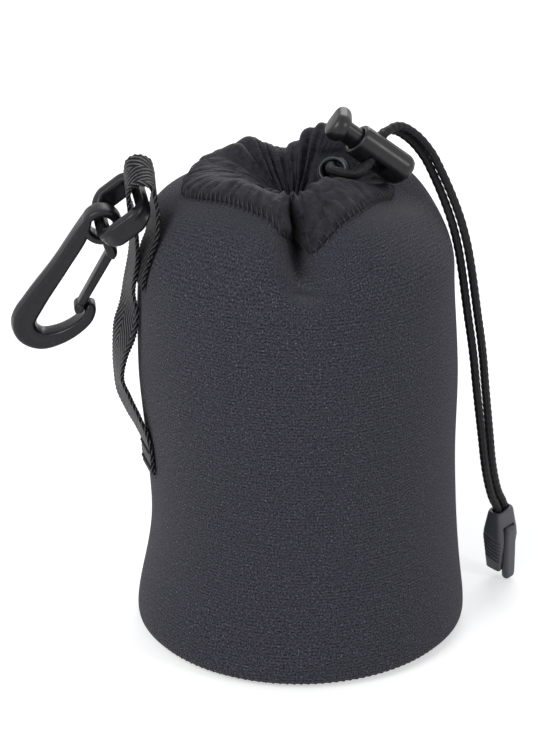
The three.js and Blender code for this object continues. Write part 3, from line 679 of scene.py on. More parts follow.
LOCK = Moulded("moulded_charcoal_acetal", "#121214", "#1A1A1C", 0.3, 0.42)
# The thread's second colour is likewise the colour of its painted glints.
THREAD = BraidedCord("spun_polyester_thread", "#3E3E44", "#8C8C92", 0.6, 0.3)


# The form that the drawn cord gives


@dataclass(frozen=True)
class Lobe:
    """A bell-shaped rise at one azimuth, with its own spread toward greater azimuths if one is given."""

    azimuth: float
    rise: float
    spread: float
    after: float = 0.0
    power: float = 2.0

    def at(self, azimuth: Array) -> Array:
        """Rise times exp of minus a power of the turn from the lobe over the spread on that side.

        Args:
            azimuth: Degrees.

        Returns:
            Height of the lobe.
        """
        away = (azimuth - self.azimuth + 180) % 360 - 180
        spread = np.where(away > 0, self.after or self.spread, self.spread)
        return self.rise * np.exp(-(np.abs(away / spread) ** self.power))


@dataclass(frozen=True)
class Bulge:
    """A lobe at a level, which falls off over one distance below it and another above it."""

    lobe: Lobe
    level: float
    below: float
    above: float

    def at(self, azimuth: Array, height: Array) -> Array:
        """The lobe times a bell curve of the height from the level."""
        fall = np.where(height < self.level, self.below, self.above)
        return bell(height - self.level, fall) * self.lobe.at(azimuth)


@dataclass(frozen=True)
class Crease:
    """A soft groove on the wall, deep at one azimuth and height and faded out at another."""

    start: Span
    end: Span
    depth: float
    width: float
    degree: float = 0.8
    fading: float = 0.7

    def at(self, azimuth: Array, height: Array) -> Array:
        """Depth: a bell curve of the distance from the stretch between the ends, which fades along it.

        Args:
            azimuth: Degrees, each counted as a fixed number of millimetres.
            height: Millimetres.

        Returns:
            Depth at each point.
        """
        a, b = (np.array(end) * (self.degree, 1) for end in (self.start, self.end))
        run = b - a
        x, y = azimuth * self.degree - a[0], height - a[1]
        share = np.clip((x * run[0] + y * run[1]) / (run @ run), 0, 1)
        away = np.hypot(x - share * run[0], y - share * run[1])
        return self.depth * (1 - share) ** self.fading * bell(away, self.width)


@dataclass(frozen=True)
class Folds:
    """Folds of gathered cloth: a quarter of the sum of ridged waves that close round the axis.

    Each is 2|sin(x/2)|^0.8 - 1, round on top and sharp in the valleys. Its number of folds round the axis,
    its slant in radians for each millimetre of cloth and its start are drawn from the seed.
    """

    seed: int
    counts: tuple[int, int]
    steep: float
    height: float = 1.0
    waves: int = 8
    starts: Span = (0.0, 6.28)
    strengths: Span = (0.5, 1.5)

    def at(self, azimuth: Array, along: Array) -> Array:
        """Heights of the folds.

        Args:
            azimuth: Degrees.
            along: Distance along the cloth.

        Returns:
            About -1 to 1, times the height.
        """
        draw = np.random.default_rng(self.seed)
        number = draw.integers(*self.counts, self.waves)
        spans = (self.starts, (-self.steep, self.steep), self.strengths)
        start, slant, strength = (draw.uniform(*span, self.waves) for span in spans)
        heights = np.zeros(np.broadcast(azimuth, along).shape)
        for n, a, s, k in zip(number, start, slant, strength):
            swing = 0.9 * np.sin(np.radians(3 * azimuth) + a) + 0.5 * np.sin(0.35 * along + 2 * a)
            turn = np.radians(n * azimuth) + s * along + a + swing
            heights += k * (2 * np.abs(np.sin(turn / 2)) ** 0.8 - 1)
        return heights / 4 * self.height


def total(shapes: tuple, *place: Array) -> Array:
    """Sum of some lobes, bulges or creases at a place."""
    return sum(shape.at(*place) for shape in shapes)


@dataclass(frozen=True)
class DrawnForm:
    """The lean, lobes and pleat that the drawn cord gives the panel and the collar alike."""

    rim_height: float = 136.0
    lean: float = -3.7
    rim_lobes: tuple[Lobe, ...] = (
        Lobe(40, 6, 22), Lobe(140, 3, 25), Lobe(2, -1.6, 18),
        Lobe(227, 3.1, 33), Lobe(321, 1.8, 26), Lobe(273, -11, 9.3, 17.5),
    )
    crest_lobes: tuple[Lobe, ...] = (
        Lobe(62, 9, 24), Lobe(128, 5, 24), Lobe(245, -2.5, 30), Lobe(303, 2.2, 14),
    )
    pulls: tuple[Lobe, ...] = (Lobe(235, 4.6, 30), Lobe(337, 4.6, 31))
    pleat: Lobe = Lobe(272.5, 14, 6, 6, 3.2)
    pleat_span: Span = (129.0, 135.0)
    lock_hollow: Lobe = Lobe(8, 0.75, 22)
    throat: float = 8.4
    seam_height: float = 136.28
    seam_radius: float = 27.08
    upper_cloth: Span = (133.53, 135.8)
    drawn_span: Span = (114.0, 132.05)

    def around(self, azimuth: Array, radius: Array, height: Array, lift: Array) -> Array:
        """Points about the leaning axis, raised by a lift.

        Args:
            azimuth: Degrees from +X toward +Y.
            radius: Distance from the axis.
            height: Height that sets the lean, which grows with its square.
            lift: Rise on top of the height.

        Returns:
            Points, with coordinates on the last axis.
        """
        turn = np.radians(azimuth)
        x = self.lean * (height / self.rim_height) ** 2 + radius * np.cos(turn)
        return np.stack(np.broadcast_arrays(x, radius * np.sin(turn), height + lift), -1)

    def panel(self, azimuth: Array, radius: Array, height: Array) -> Array:
        """Panel's section point, pulled in at the pleat and raised at the lobes, more toward the rim.

        Args:
            azimuth: Degrees.
            radius: Radius of the plain section.
            height: Height of the plain section.

        Returns:
            Points on the drawn panel.
        """
        drawn, folded = smoothstep(height, *self.drawn_span), smoothstep(height, *self.pleat_span)
        pulled = radius - drawn * total(self.pulls, azimuth) - folded * self.pleat.at(azimuth)
        return self.around(azimuth, pulled, height, drawn * total(self.rim_lobes, azimuth))

    def collar(self, azimuth: Array, radius: Array, height: Array) -> Array:
        """Collar's section point: rim lobes fade toward the throat, crest lobes rise between rim and throat.

        Args:
            azimuth: Degrees.
            radius: Radius of the plain section.
            height: Height of the plain section.

        Returns:
            Points on the drawn collar.
        """
        inward = np.clip((self.seam_radius - radius) / (self.seam_radius - self.throat), 0, 1)
        drawn = smoothstep(radius, self.throat, self.seam_radius)
        crest = total(self.crest_lobes, azimuth) * np.sin(np.pi * inward) ** 2
        crest = crest * smoothstep(height, *self.upper_cloth)
        flat = np.maximum(height - self.seam_height, 0) * self.lock_hollow.at(azimuth)
        lift = drawn * total(self.rim_lobes, azimuth) + crest - flat
        pulled = radius - drawn * (total(self.pulls, azimuth) + self.pleat.at(azimuth))
        return self.around(azimuth, pulled, height, lift)


# Sub-assemblies


@dataclass
class FoamPanel(Assembly):
    """The foam tube and the base disc, both faced with jersey."""

    form: DrawnForm = DrawnForm()
    profile: Points = (
        (46.5, 0.3), (49.2, 2.0), (50.2, 7.0), (46.4, 38.0),
        (47.4, 84.0), (45.6, 114.0), (39.5, 129.0), (30.5, 136.0),
    )
    thickness: float = 5.0
    rows: int = 190
    columns: int = 320
    inner_rows: int = 26
    inner_span: Span = (1.0, 0.02)
    uv_radius: float = 48.0
    bulges: tuple[Bulge, ...] = (
        Bulge(Lobe(180, 0.6, 45), 80, 15, 15),
        Bulge(Lobe(13.6, 4.4, 41), 129, 14.4, 9.9),
        Bulge(Lobe(165, 2.6, 25), 130, 6, 6),
        Bulge(Lobe(0, 1.1, 60), 38, 18, 18),
        Bulge(Lobe(180, -0.7, 60), 34, 16, 16),
        Bulge(Lobe(240, 1.8, 55), 0, 1, 14),
    )
    bulge_end: Span = (131.0, 135.8)
    creases: tuple[Crease, ...] = (
        Crease((274, 126), (293, 113), 1.5, 2.4),
        Crease((262, 124), (252, 112), 1.2, 2.6),
        Crease((268, 122), (269, 104), 1.6, 4.5),
        Crease((300, 124), (314, 117), 0.6, 2.5),
    )
    slack: float = 0.28
    slack_waves: Points = ((3, 17), (2, 23))
    slack_foot: Span = (8.0, 30.0)
    slack_top: Span = (118.0, 130.0)
    overlock: float = 0.16
    overlock_loops: int = 150
    overlock_edge: Span = (0.8, 2.6)
    base_radius: float = 46.0
    base_height: float = 5.0
    base_sink: float = 0.4
    base_crown: float = 0.2

    def surface(self, azimuth: Array, along: Array) -> Array:
        """Outer face at shares of the profile's length.

        The profile is a spline of radius against height, turned about the leaning axis. Bulges that fade at
        the rim, slow unevenness, the creases under the pleat and the overlock's ripple change the radius.

        Args:
            azimuth: Degrees.
            along: Shares from the floor seam, 0, to the rim, 1.

        Returns:
            Points.
        """
        (line,) = even(spline(self.profile, 800, 0, True), 800)
        share, turn = np.linspace(0, 1, len(line)), np.radians(azimuth)
        radius, height = (np.interp(along, share, column) for column in line.T)
        bulges = fade(height, *self.bulge_end) * total(self.bulges, azimuth, height)
        slack = self.slack * smoothstep(height, *self.slack_foot) * fade(height, *self.slack_top)
        (first, rise), (second, fall) = self.slack_waves
        slack = slack * np.sin(first * turn + height / rise) * np.cos(second * turn - height / fall)
        ripple = self.overlock * np.cos(self.overlock_loops * turn) * fade(height, *self.overlock_edge)
        radius = radius + bulges + slack - total(self.creases, azimuth, height) + ripple
        return self.form.panel(azimuth, radius, height)

    def build(self) -> None:
        """Builds the panel as one closed shell, outer face up and inner face down, and the base disc."""
        azimuth = np.degrees(circle(self.columns))[None]
        outer = self.surface(azimuth, np.linspace(0, 1, self.rows)[:, None])
        skin = self.surface(azimuth, np.linspace(*self.inner_span, self.inner_rows)[:, None])
        inner = skin - self.thickness * unit(facing(skin))
        inner[:, :, 2] = np.maximum(inner[:, :, 2], self.base_height - self.base_sink)
        around = np.linspace(0, 2 * np.pi * self.uv_radius, self.columns + 1)
        shell = Patch(np.concatenate([outer, inner]), True, around)
        self.piece("foam_panel", [shell], Slot.KNIT, "body_panel")
        disc = Patch(lathe(self.base_section(), self.columns))
        self.piece("base_disc_padded", [disc], Slot.KNIT, "base_disc")

    def base_section(self) -> Array:
        """Base's half section from the middle of its underside round its edge to the middle of its top.

        Returns:
            Radius and height pairs; the rim is a half circle and the top is crowned.
        """
        reach, half = self.base_radius, self.base_height / 2
        edge = half * heading(np.linspace(-np.pi / 2, np.pi / 2, 17)) + (reach - half, half)
        face = np.linspace(1.0, reach - half, 24, endpoint=False)[:, None]
        top = np.concatenate([face, self.base_height - self.base_crown * (face / reach) ** 2], 1)[::-1]
        return np.concatenate([face * (1, 0), edge, top])


EYELET = Place(
    (8.53, 6.34, 140.34), (-0.946, -0.106, -0.307), (-0.307, 0.602, 0.737), (-0.106, -0.791, 0.602)
)


@dataclass
class GatheredCollar(Assembly):
    """The thin cloth collar, doubled over the drawstring, with the folds that the drawn cord gathers."""

    form: DrawnForm = DrawnForm()
    top: Points = (
        (31.15, 135.95), (30.5, 137.2), (29.05, 138.68), (25.36, 140.5), (20.14, 141.08),
        (14.92, 140.12), (10.57, 137.88), (7.6, 135.2), (5.4, 131.6),
    )
    under: Points = (
        (4.9, 129.6), (7.6, 129.4), (11.0, 131.2), (17.1, 129.73), (22.5, 129.73), (27.08, 132.33),
    )
    cloth: float = 0.5
    top_rows: int = 84
    under_rows: int = 18
    columns: int = 440
    patches: Folds = Folds(31, (4, 10), 0.2)
    gathers: Folds = Folds(7, (16, 34), 0.05)
    puckers: Folds = Folds(11, (34, 62), 0.16, 0.85)
    crumples: Folds = Folds(23, (12, 30), 0.45, 0.55)
    uv_radius: float = 24.0
    calm: Lobe = Lobe(8, 0.75, 20)
    calm_edge: Span = (22.0, 28.0)
    fold_span: Span = (30.0, 6.0)
    patch_edge: Span = (-0.25, 0.45)
    gather_depth: Span = (0.1, 1.35)
    gather_edge: Span = (0.2, 0.95)
    pucker_start: Span = (0.4, 2.2)
    pucker_fall: float = 7.0
    least_crumple: float = 0.08
    throat_edge: float = 3.0
    seat_depth: Span = (5.0, 9.0)
    seat_edge: Span = (5.2, 8.2)
    seat_bore: Span = (2.4, 3.0)
    seat_pit: float = 3.2
    seat_sink: float = 0.7
    fan_from: Span = (292.0, 12.0)
    fan_height: float = 0.6
    fan_degree: float = 0.42
    fan_way: Span = (0.35, 0.75)
    fan_start: Span = (1.0, 4.0)
    fan_fall: float = 10.0
    fan_ridges: int = 13

    def surface(self, azimuth: Array, along: Array) -> Array:
        """Cloth from the rim over the crest into the throat and back under it.

        The section is the top and under splines end to end, drawn by the form. Folds then move it along its
        own normal: gathers that deepen toward the throat, patchy puckers at the seam, crumples between, and a
        fan of wrinkles on the right. Round the eyelet it is pressed flat, with a pit at the bore.

        Args:
            azimuth: Degrees, one row.
            along: Shares from the rim seam, 0, through the throat to the under seam, 1, one column.

        Returns:
            Grid of points.
        """
        (line,) = even(spline((*self.top, *self.under), 900, 0, True), 900)
        run = lengths(line)
        throat = run[np.argmin(line[:, 0])]
        place = np.interp(along, (0, 0.5, 1), (0, throat, run[-1]))
        radius, height = (np.interp(place, run, column) for column in line.T)
        points = self.form.collar(azimuth, radius, height)
        edge, middle = self.fold_span
        inward = np.clip((edge - radius) / (edge - middle), 0, 1)
        upper = fade(place, throat - self.throat_edge, throat + self.throat_edge)
        calm = 1 - self.calm.at(azimuth) * fade(radius, *self.calm_edge)
        patchy = smoothstep(self.patches.at(azimuth, place), *self.patch_edge)
        least, more = self.gather_depth
        gathers = self.gathers.at(azimuth, place) * (least + more * smoothstep(inward, *self.gather_edge))
        near_seam = smoothstep(place, *self.pucker_start) * bell(place, self.pucker_fall)
        puckers = self.puckers.at(azimuth, place) * near_seam * patchy
        between = np.sin(np.pi * np.clip(inward, self.least_crumple, 1))
        crumples = self.crumples.at(azimuth, place) * between * patchy
        folds = (gathers + puckers + crumples + self.fan(azimuth, place)) * upper * calm
        return self.press_seat(points + self.outward(points) * folds[..., None], upper)

    @staticmethod
    def outward(points: Array) -> Array:
        """Normals of the cloth, turned so that they point up near the rim."""
        normal = unit(facing(points))
        return normal * np.sign(normal[6, 0, 2])

    def fan(self, azimuth: Array, place: Array) -> Array:
        """Wrinkles that spread from one place on the front right lobe toward its seam.

        The height is a cosine of the angle about that place, which starts a little way out and falls with the
        square of the distance.

        Args:
            azimuth: Degrees, each counted as a fixed number of millimetres.
            place: Distance along the cloth from the seam.

        Returns:
            Heights.
        """
        x = self.fan_degree * ((azimuth - self.fan_from[0] + 180) % 360 - 180)
        y = self.fan_from[1] - place
        away, turn = np.hypot(x, y), np.arctan2(x, y)
        way, width = self.fan_way
        spread = bell(turn - way, width) * smoothstep(away, *self.fan_start) * bell(away, self.fan_fall)
        return self.fan_height * spread * np.cos(self.fan_ridges * turn + 1.2 * np.sin(3 * turn))

    def press_seat(self, points: Array, upper: Array) -> Array:
        """Moves the cloth round the eyelet into its plane, and down a pit inside its bore.

        Args:
            points: Grid of points.
            upper: Share by which each row is upper cloth.

        Returns:
            Moved points.
        """
        out, away = np.array(EYELET.z), points - np.array(EYELET.origin)
        off = away @ out
        flat = np.linalg.norm(away - off[..., None] * out, axis=-1)
        near = upper * fade(np.abs(off), *self.seat_depth)
        press = near * fade(flat, *self.seat_edge) * (off + self.seat_sink)
        pit = near * fade(flat, *self.seat_bore) * self.seat_pit
        return points - (press + pit)[..., None] * out

    def grid(self) -> tuple[Array, Array]:
        """Outer face of the cloth.

        Returns:
            The grid of points, and its azimuths.
        """
        azimuth = np.degrees(circle(self.columns))[None]
        upper, lower = np.linspace(0, 0.5, self.top_rows), np.linspace(0.5, 1, self.under_rows + 1)[1:]
        return self.surface(azimuth, np.concatenate([upper, lower])[:, None]), azimuth

    def build(self) -> None:
        outer, _ = self.grid()
        inner = (outer - self.cloth * self.outward(outer))[::-1]
        around = np.linspace(0, 2 * np.pi * self.uv_radius, self.columns + 1)
        shell = Patch(np.concatenate([outer, inner]), True, around)
        collar = self.piece("collar_cloth", [shell], Slot.THIN_CLOTH, "collar")


@dataclass
class Eyelet(Assembly):
    """The rolled eyelet that the cord leaves the collar through."""

    bore: float = 6.2
    flange: float = 9.4
    height: float = 0.85
    depth: float = 1.8

    def build(self) -> None:
        """Turns a rolled flange and barrel: the section is a closed spline of radius against height."""
        inner, outer = self.bore / 2, self.flange / 2
        barrel = ((inner, -self.depth), (inner, 0.2), (inner + 0.35, self.height - 0.15))
        flange = ((inner + 0.85, self.height), (outer - 0.35, 0.5 * self.height), (outer, 0.12))
        back = ((outer - 0.3, 0.0), (inner + 0.6, 0.05), (inner + 0.5, -self.depth))
        line = spline((*barrel, *flange, *back, barrel[0]), 60, 0, True)[:-1]
        self.piece("eyelet_ring", [Patch(EYELET.out(lathe(line, 72)), True)], Slot.DARK_METAL, "eyelet")


@dataclass
class Drawstring(Assembly):
    """One braided cord, doubled: a run inside the collar and two strands that hang to the cord end.

    The pair leaves the eyelet, bends into the lock, crosses it, and hangs along given points.
    """

    diameter: float = 2.6
    half_pair: float = 1.45
    plaits: int = 8
    lay: float = 9.0
    plait_height: float = 0.13
    plait_sink: float = 0.04
    end_rounding: float = 0.5
    mouth_height: float = 0.7
    lead_heading: Point = (-0.25, -0.85, 0.2)
    lead_handles: Span = (11.0, 7.0)
    lock_station: float = 2.7
    departure_handles: Span = (7.0, 3.5)
    hanging: Points = (
        (33, 14, 147.3), (36.8, 14.4, 142.6), (40.3, 12.4, 136.1), (43.5, 9.2, 128.9), (46.2, 6, 121.1),
        (48.4, 4, 110.5), (50.4, 3.8, 97.92), (52.6, 4.6, 84.728), (54.4, 6.6, 70.856), (56.4, 9.1, 56.44),
        (58.6, 12, 41.344), (61.2, 15, 31.008), (63.3, 17.5, 25.8),
    )
    grip_depth: float = 7.4
    end_side: Point = (0.72, 0.7, 0)
    steps: int = 50
    form: DrawnForm = DrawnForm()
    run_radius: float = 15.5
    run_foot: float = 129.9
    run_height: float = 133.2
    eyelet_azimuth: float = 27.0
    lead_turn: float = 14.0
    lead_depths: Point = (1.3, 2.5, 5.0)
    side_hint: Point = (0.35, -0.9, 0.25)

    @cached_property
    def pair(self) -> tuple[Array, Array]:
        """The pair's route, and the direction from the back strand to the front one at each point.

        The direction is carried along without twist. From the lock it turns to the eyelet's and to the cord
        end's by at most a quarter, because the strands swap freely. Points are rounded to a hundredth of a
        millimetre, and directions to a thousandth.
        """
        lock, hanging, half = CordLock.place, np.array(self.hanging), CordLock.thickness / 2
        entry, leave = (lock.out((0, way * half, self.lock_station)) for way in (-1, 1))
        mouth = EYELET.out((0, 0, self.mouth_height))
        tip = hanging[-1] - self.grip_depth * np.array(CordEnd.place.z)
        line = np.concatenate([
            bend(mouth, self.lead_heading, entry, lock.y, self.lead_handles),
            bend(leave, lock.y, hanging[0], hanging[1] - hanging[0], self.departure_handles),
            spline([*hanging, tip], 4000)[1:],
        ])
        points, tangent = even(line, self.steps + 1, unit(np.gradient(line, lengths(line), axis=0)))
        tangent = unit(tangent)
        normal = [unit(np.cross(tangent[0], EYELET.y))]
        for before, after in zip(tangent, tangent[1:]):
            normal.append(normal[-1] - normal[-1] @ after / (1 + before @ after) * (before + after))
        normal = np.array(normal)
        across = np.cross(tangent, normal)
        middle = np.linalg.norm(points - (entry + leave) / 2, axis=1).argmin()
        held = ((middle, lock.x), (0, EYELET.y), (self.steps, self.end_side))
        at_lock, *others = (np.arctan2(across[i] @ side, normal[i] @ side) for i, side in held)
        first, last = ((angle - at_lock + np.pi / 2) % np.pi - np.pi / 2 for angle in others)
        step = np.arange(self.steps + 1)[:, None]
        turn = at_lock + first * fade(step, 0, middle - 1) + last * smoothstep(step, middle + 1, self.steps)
        sides = np.cos(turn) * normal + np.sin(turn) * across
        return points[::2].round(2), sides[::2].round(3)

    def braid(self, line: Array, step: float = 0.18) -> Patch:
        """A braided tube along a line: radius plus a height that is the product of two slanted cosines.

        Args:
            line: Points of the middle line.
            step: Distance between rows.

        Returns:
            The tube's surface.
        """
        whole = lengths(line)[-1]
        (line,) = even(line, int(whole / step) + 1)
        along, turn = np.linspace(0, whole, len(line))[:, None], circle(5 * self.plaits)
        twist = np.pi * along / self.lay
        right, left = (self.plaits / 2 * (turn + way * twist) for way in (1, -1))
        radius = self.diameter / 2 - self.plait_sink + self.plait_height * np.cos(right) * np.cos(left)
        near_end = np.minimum(np.minimum(along, whole - along) / self.end_rounding, 1)
        radius = radius * np.sqrt(np.clip(near_end * (2 - near_end), 0.05, 1))
        tube = sweep(line, *crossways(line, self.side_hint), radius[..., None] * heading(turn))
        return Patch(tube, False, np.linspace(0, np.pi * self.diameter, turn.size + 1))

    def strand(self, sign: int) -> Array:
        """Middle line of the front strand, 1, or back one, -1: the route moved half the pair's spacing."""
        route, sides = (spline(points, 500) for points in self.pair)
        return route + sign * self.half_pair * unit(sides)

    def build(self, ends: list[bpy.types.Object]) -> None:
        """Args:
            ends: Pieces of the cord end, one for each strand: the grip and the tongue. Not used.
        """
        for name, sign, end in zip(("front", "back"), (1, -1), ends):
            line = self.strand(sign)
            cord = self.piece("cord_" + name, [self.braid(line)], Slot.BRAID, "drawstring_" + name)
            tuple(self.pair[0][0] * MM)
        self.run()

    def run(self) -> None:
        """Builds the cord inside the collar, round the throat from one side of the eyelet to the other."""
        first = self.eyelet_azimuth + self.lead_turn
        azimuth = np.linspace(first, first + 360 - 2 * self.lead_turn, 27)
        ring = self.form.collar(azimuth, self.run_radius, self.run_foot)
        ring[:, 2] += self.run_height - self.run_foot
        route, sides = self.pair
        mouth, aside = route[0], self.half_pair * sides[0]
        leads = [mouth + way * aside - np.outer(self.lead_depths, EYELET.z) for way in (1, -1)]
        line = np.concatenate([leads[0], ring, leads[1][::-1]])
        self.piece("cord_in_collar", [self.braid(spline(line, 600), 0.3)], Slot.BRAID, "drawstring_loop")


@dataclass
class CordLock(Assembly):
    """The cord lock: an oval barrel for the pair of strands, and a sprung plunger with a drop-shaped head."""

    place: Place = Place(
        (22.33, 1.984, 145.986),
        (0.49058, -0.73149, 0.47355),
        (0.36991, 0.66687, 0.64688),
        (-0.78898, -0.14218, 0.59774),
    )
    length: float = 19.0
    width: float = 11.8
    thickness: float = 9.2
    end_rounding: float = 3.0
    rim_rounding: float = 0.7
    bore: float = 8.8
    slot_width: float = 6.1
    bore_heights: Span = (4.0, 1.0)
    slot_span: Span = (-2.4, 4.3)
    slot_edge: Span = (-0.1, 0.25)
    slot_depth: float = 0.5
    seam_offset: float = 1.7
    seam_ridge: Span = (0.16, 0.2)
    stem: Span = (8.2, 5.6)
    stem_foot: float = -1.0
    head_foot: float = 13.3
    head_thickness: float = 5.2
    head_round: float = 0.47
    head_shrink: float = 0.42
    head_radius: float = 4.4
    head_tip: float = 6.5
    tip_radius: float = 1.5
    spring: Span = (-6.95, -1.65)
    spring_radius: float = 1.9
    spring_curls: int = 4
    wire: float = 0.5
    travel: float = 3.5

    def barrel(self) -> Patch:
        """Barrel: an oval whose inset follows a rounded end, a straight wall, a rounded rim and a bore.

        The slots for the cord are pockets pressed in from both sides, and the moulding's parting line is a
        fine ridge in one plane along the barrel.

        Returns:
            The barrel's surface.
        """
        end, corner = self.length / 2, 1 - heading(np.linspace(0, np.pi / 2, 12))
        foot = self.end_rounding * corner[:, ::-1] - (0, end)
        wall = np.linspace(self.end_rounding - end, end - self.rim_rounding, 84)[1:-1, None] * (0, 1)
        rim = self.rim_rounding * corner * (1, -1) + (0, end)
        lip = (self.width - self.bore) / 2
        mouth = ((lip - 0.35, end), (lip - 0.1, end - 0.1), (lip, end - 0.35))
        line = np.concatenate([foot, wall, rim, mouth, [(lip, height) for height in self.bore_heights]])
        grid = lathe(line * (-1, 1), 160, (self.width, self.thickness))
        outer = (line[:, :1] < 0.01) | (line[:, 1:] < 0)
        height, spread = self.seam_ridge
        ridge = height * bell(grid[..., 1] - self.seam_offset, spread) * outer
        grid[..., :2] += ridge[..., None] * heading(circle(160))
        x, y, z = np.moveaxis(grid, -1, 0)
        low, high = self.slot_span
        past = (np.abs(x) - self.slot_width / 2, low - z, z - high)
        slot = self.slot_depth * outer * np.prod([fade(beyond, *self.slot_edge) for beyond in past], 0)
        return Patch(self.place.out(np.stack([x, y * (1 - slot), z], -1)))

    def drop(self, count: int = 90) -> Array:
        """Outline of the head: a large and a small circle joined by their outer tangents.

        Args:
            count: Points round it.

        Returns:
            Points, with the small circle's end along the second coordinate.
        """
        rise = self.head_tip - self.tip_radius
        taper = math.acos((self.head_radius - self.tip_radius) / rise)
        big = self.head_radius * heading(np.linspace(np.pi / 2 + taper, 5 * np.pi / 2 - taper, count))
        small = self.tip_radius * heading(np.linspace(np.pi / 2 - taper, np.pi / 2 + taper, count // 3))
        (ring,) = even(np.concatenate([big, small + (0, rise), big[:1]]), count + 1)
        return ring[:-1]

    def plunger(self) -> list[Patch]:
        """Plunger: an oval stem, and a head whose outline shrinks over rounded edges toward both faces.

        Returns:
            Surfaces of the stem and the head.
        """
        foot = self.stem_foot
        line = np.array([(-0.5, foot), (-0.15, foot + 0.15), (0, foot + 0.5), (0, self.head_foot + 2.5)])
        phi = np.linspace(-self.head_round, self.head_round, 25)[:, None, None] * np.pi
        flat = self.drop() * (1 - self.head_shrink * (1 - np.cos(phi)))
        z = self.head_foot + self.head_thickness / 2 * (1 + np.sin(phi)) + 0 * flat[..., :1]
        grids = (lathe(line, 72, self.stem), np.concatenate([flat, z], -1))
        return [Patch(self.place.out(grid)) for grid in grids]

    def coil(self) -> Patch:
        """Spring: a round wire carried along a helix, whose turn grows evenly with its height.

        Returns:
            The wire's surface.
        """
        turn = np.linspace(0, 2 * np.pi * self.spring_curls, 24 * self.spring_curls + 1)
        out = np.pad(heading(turn), ((0, 0), (0, 1)))
        line = self.spring_radius * out + np.linspace(*self.spring, len(turn))[:, None] * (0, 0, 1)
        grid = sweep(line, *crossways(line, out), superoval(self.wire, self.wire, 2, 10))
        return Patch(self.place.out(grid))

    def build(self) -> None:
        """Builds the barrel, the plunger and the spring."""
        slot, satin = Slot.GLOSS_PLASTIC, LOCK.material()
        self.piece("lock_barrel_moulded", [self.barrel()], slot, "lock_barrel", Body.POUCH, 50, satin)
        self.piece("lock_plunger_moulded", self.plunger(), slot, "lock_plunger", Body.PLUNGER, 50, satin)
        spring = self.piece("lock_spring_wire", [self.coil()], Slot.SPRING_STEEL, "lock_spring")
        low, high = self.spring
        foot = tuple(self.place.out((0, 0, low - self.wire / 2)) * MM)
        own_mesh(spring)


@dataclass
class CordEnd(Assembly):
    """The moulded grip that the strands end in, and the tongue that jams them.

    A station has a width, a depth and a height. The tongue has a width, a length and a thickness. Each
    stretch of rows has its first and last height and its number of rows.
    """

    place: Place = Place(
        (64, 21, 3.5),
        (-0.71909, -0.68271, -0.12972),
        (0.69423, -0.71407, -0.09028),
        (-0.031, -0.15498, 0.98743),
    )
    stations: Points = (
        (6.2, 5.2, 0.0), (7.2, 6.0, 0.55), (9.4, 8.2, 12.25),
        (9.1, 7.8, 14.9), (7.8, 5.2, 21.7), (7.4, 4.7, 22.28),
    )
    rows: Points = ((0, 0.55, 4), (0.6, 21.7, 120), (21.8, 22.28, 5))
    mouth: Span = (6.5, 3.5)
    mouth_heights: Point = (22.28, 22.0, 17.5)
    grooves: int = 6
    groove_depth: float = 0.5
    pitch: float = 1.5
    groove_top: float = 12.6
    groove_slant: float = 0.25
    groove_width: float = 0.24
    groove_side: Span = (0.8, 0.96)
    tongue: Point = (4.4, 19.48, 2.8)
    tongue_middle: float = 7.14
    tongue_face: float = 3.8
    tongue_gap: float = 0.3
    tongue_clearance: float = 0.2
    bullnose: float = 0.9

    def grip(self) -> Patch:
        """Grip: rounded rectangles whose sides change along it, then back down inside the cord's mouth.

        Ribs are grooves pressed into the two narrow sides, slanted with the depth; a recess for the tongue
        is the wide side held back to one plane.

        Returns:
            The grip's surface.
        """
        widths, depths, heights = np.array(self.stations).T
        z = np.concatenate([np.linspace(*run) for run in self.rows])
        width = np.interp(z, heights, widths)
        x, y = np.moveaxis(superoval(width, np.interp(z, heights, depths), 5, 96), -1, 0)
        half, z = width[:, None] / 2, z[:, None]
        phase = (z + self.groove_slant * y - self.groove_top) / self.pitch + self.grooves - 1
        ribbed = smoothstep(phase, -0.6, -0.4) * fade(phase, self.grooves - 0.6, self.grooves - 0.4)
        rib = ribbed * bell(phase - np.round(phase), self.groove_width)
        x = x * (1 - smoothstep(np.abs(x) / half, *self.groove_side) * rib * self.groove_depth / half)
        across, along, thick = np.array(self.tongue) / 2
        held = np.maximum(np.abs(x) - across, z - self.tongue_middle - along) < self.tongue_gap
        y = np.where(held, np.minimum(y, self.tongue_face - thick - self.tongue_clearance), y)
        outer = np.stack(np.broadcast_arrays(x, y, z), -1)
        inner = superoval(np.full(3, self.mouth[0]), self.mouth[1], 3, 96)
        inner = np.concatenate([inner, np.array(self.mouth_heights)[:, None, None] + 0 * inner[..., :1]], -1)
        return Patch(self.place.out(np.concatenate([outer, inner])))

    def bar(self) -> Patch:
        """Tongue: a rounded bar whose outline shrinks over a bullnose toward its two faces.

        Returns:
            The tongue's surface.
        """
        phi = np.linspace(-0.5, 0.5, 13)[:, None, None] * np.pi
        width, length, thick = self.tongue
        inset = self.bullnose * (1 - np.cos(phi))
        flat = superoval(width, length, 7, 96) * (1 - inset * np.array([2 / width, 2 / length]))
        y = self.tongue_face + thick / 2 * np.sin(phi) + 0 * flat[..., :1]
        grid = np.concatenate([flat[..., :1], y, flat[..., 1:] + self.tongue_middle], -1)
        return Patch(self.place.out(grid))

    def build(self) -> list[bpy.types.Object]:
        """Builds the grip and the tongue.

        Returns:
            Both pieces.
        """
        grip = self.piece("cord_end_grip", [self.grip()], Slot.MATTE_PLASTIC, "cord_end_body", crease=40)
        bar = self.piece("cord_end_wedge", [self.bar()], Slot.MATTE_PLASTIC, "cord_end_tongue", crease=40)
        return [grip, bar]


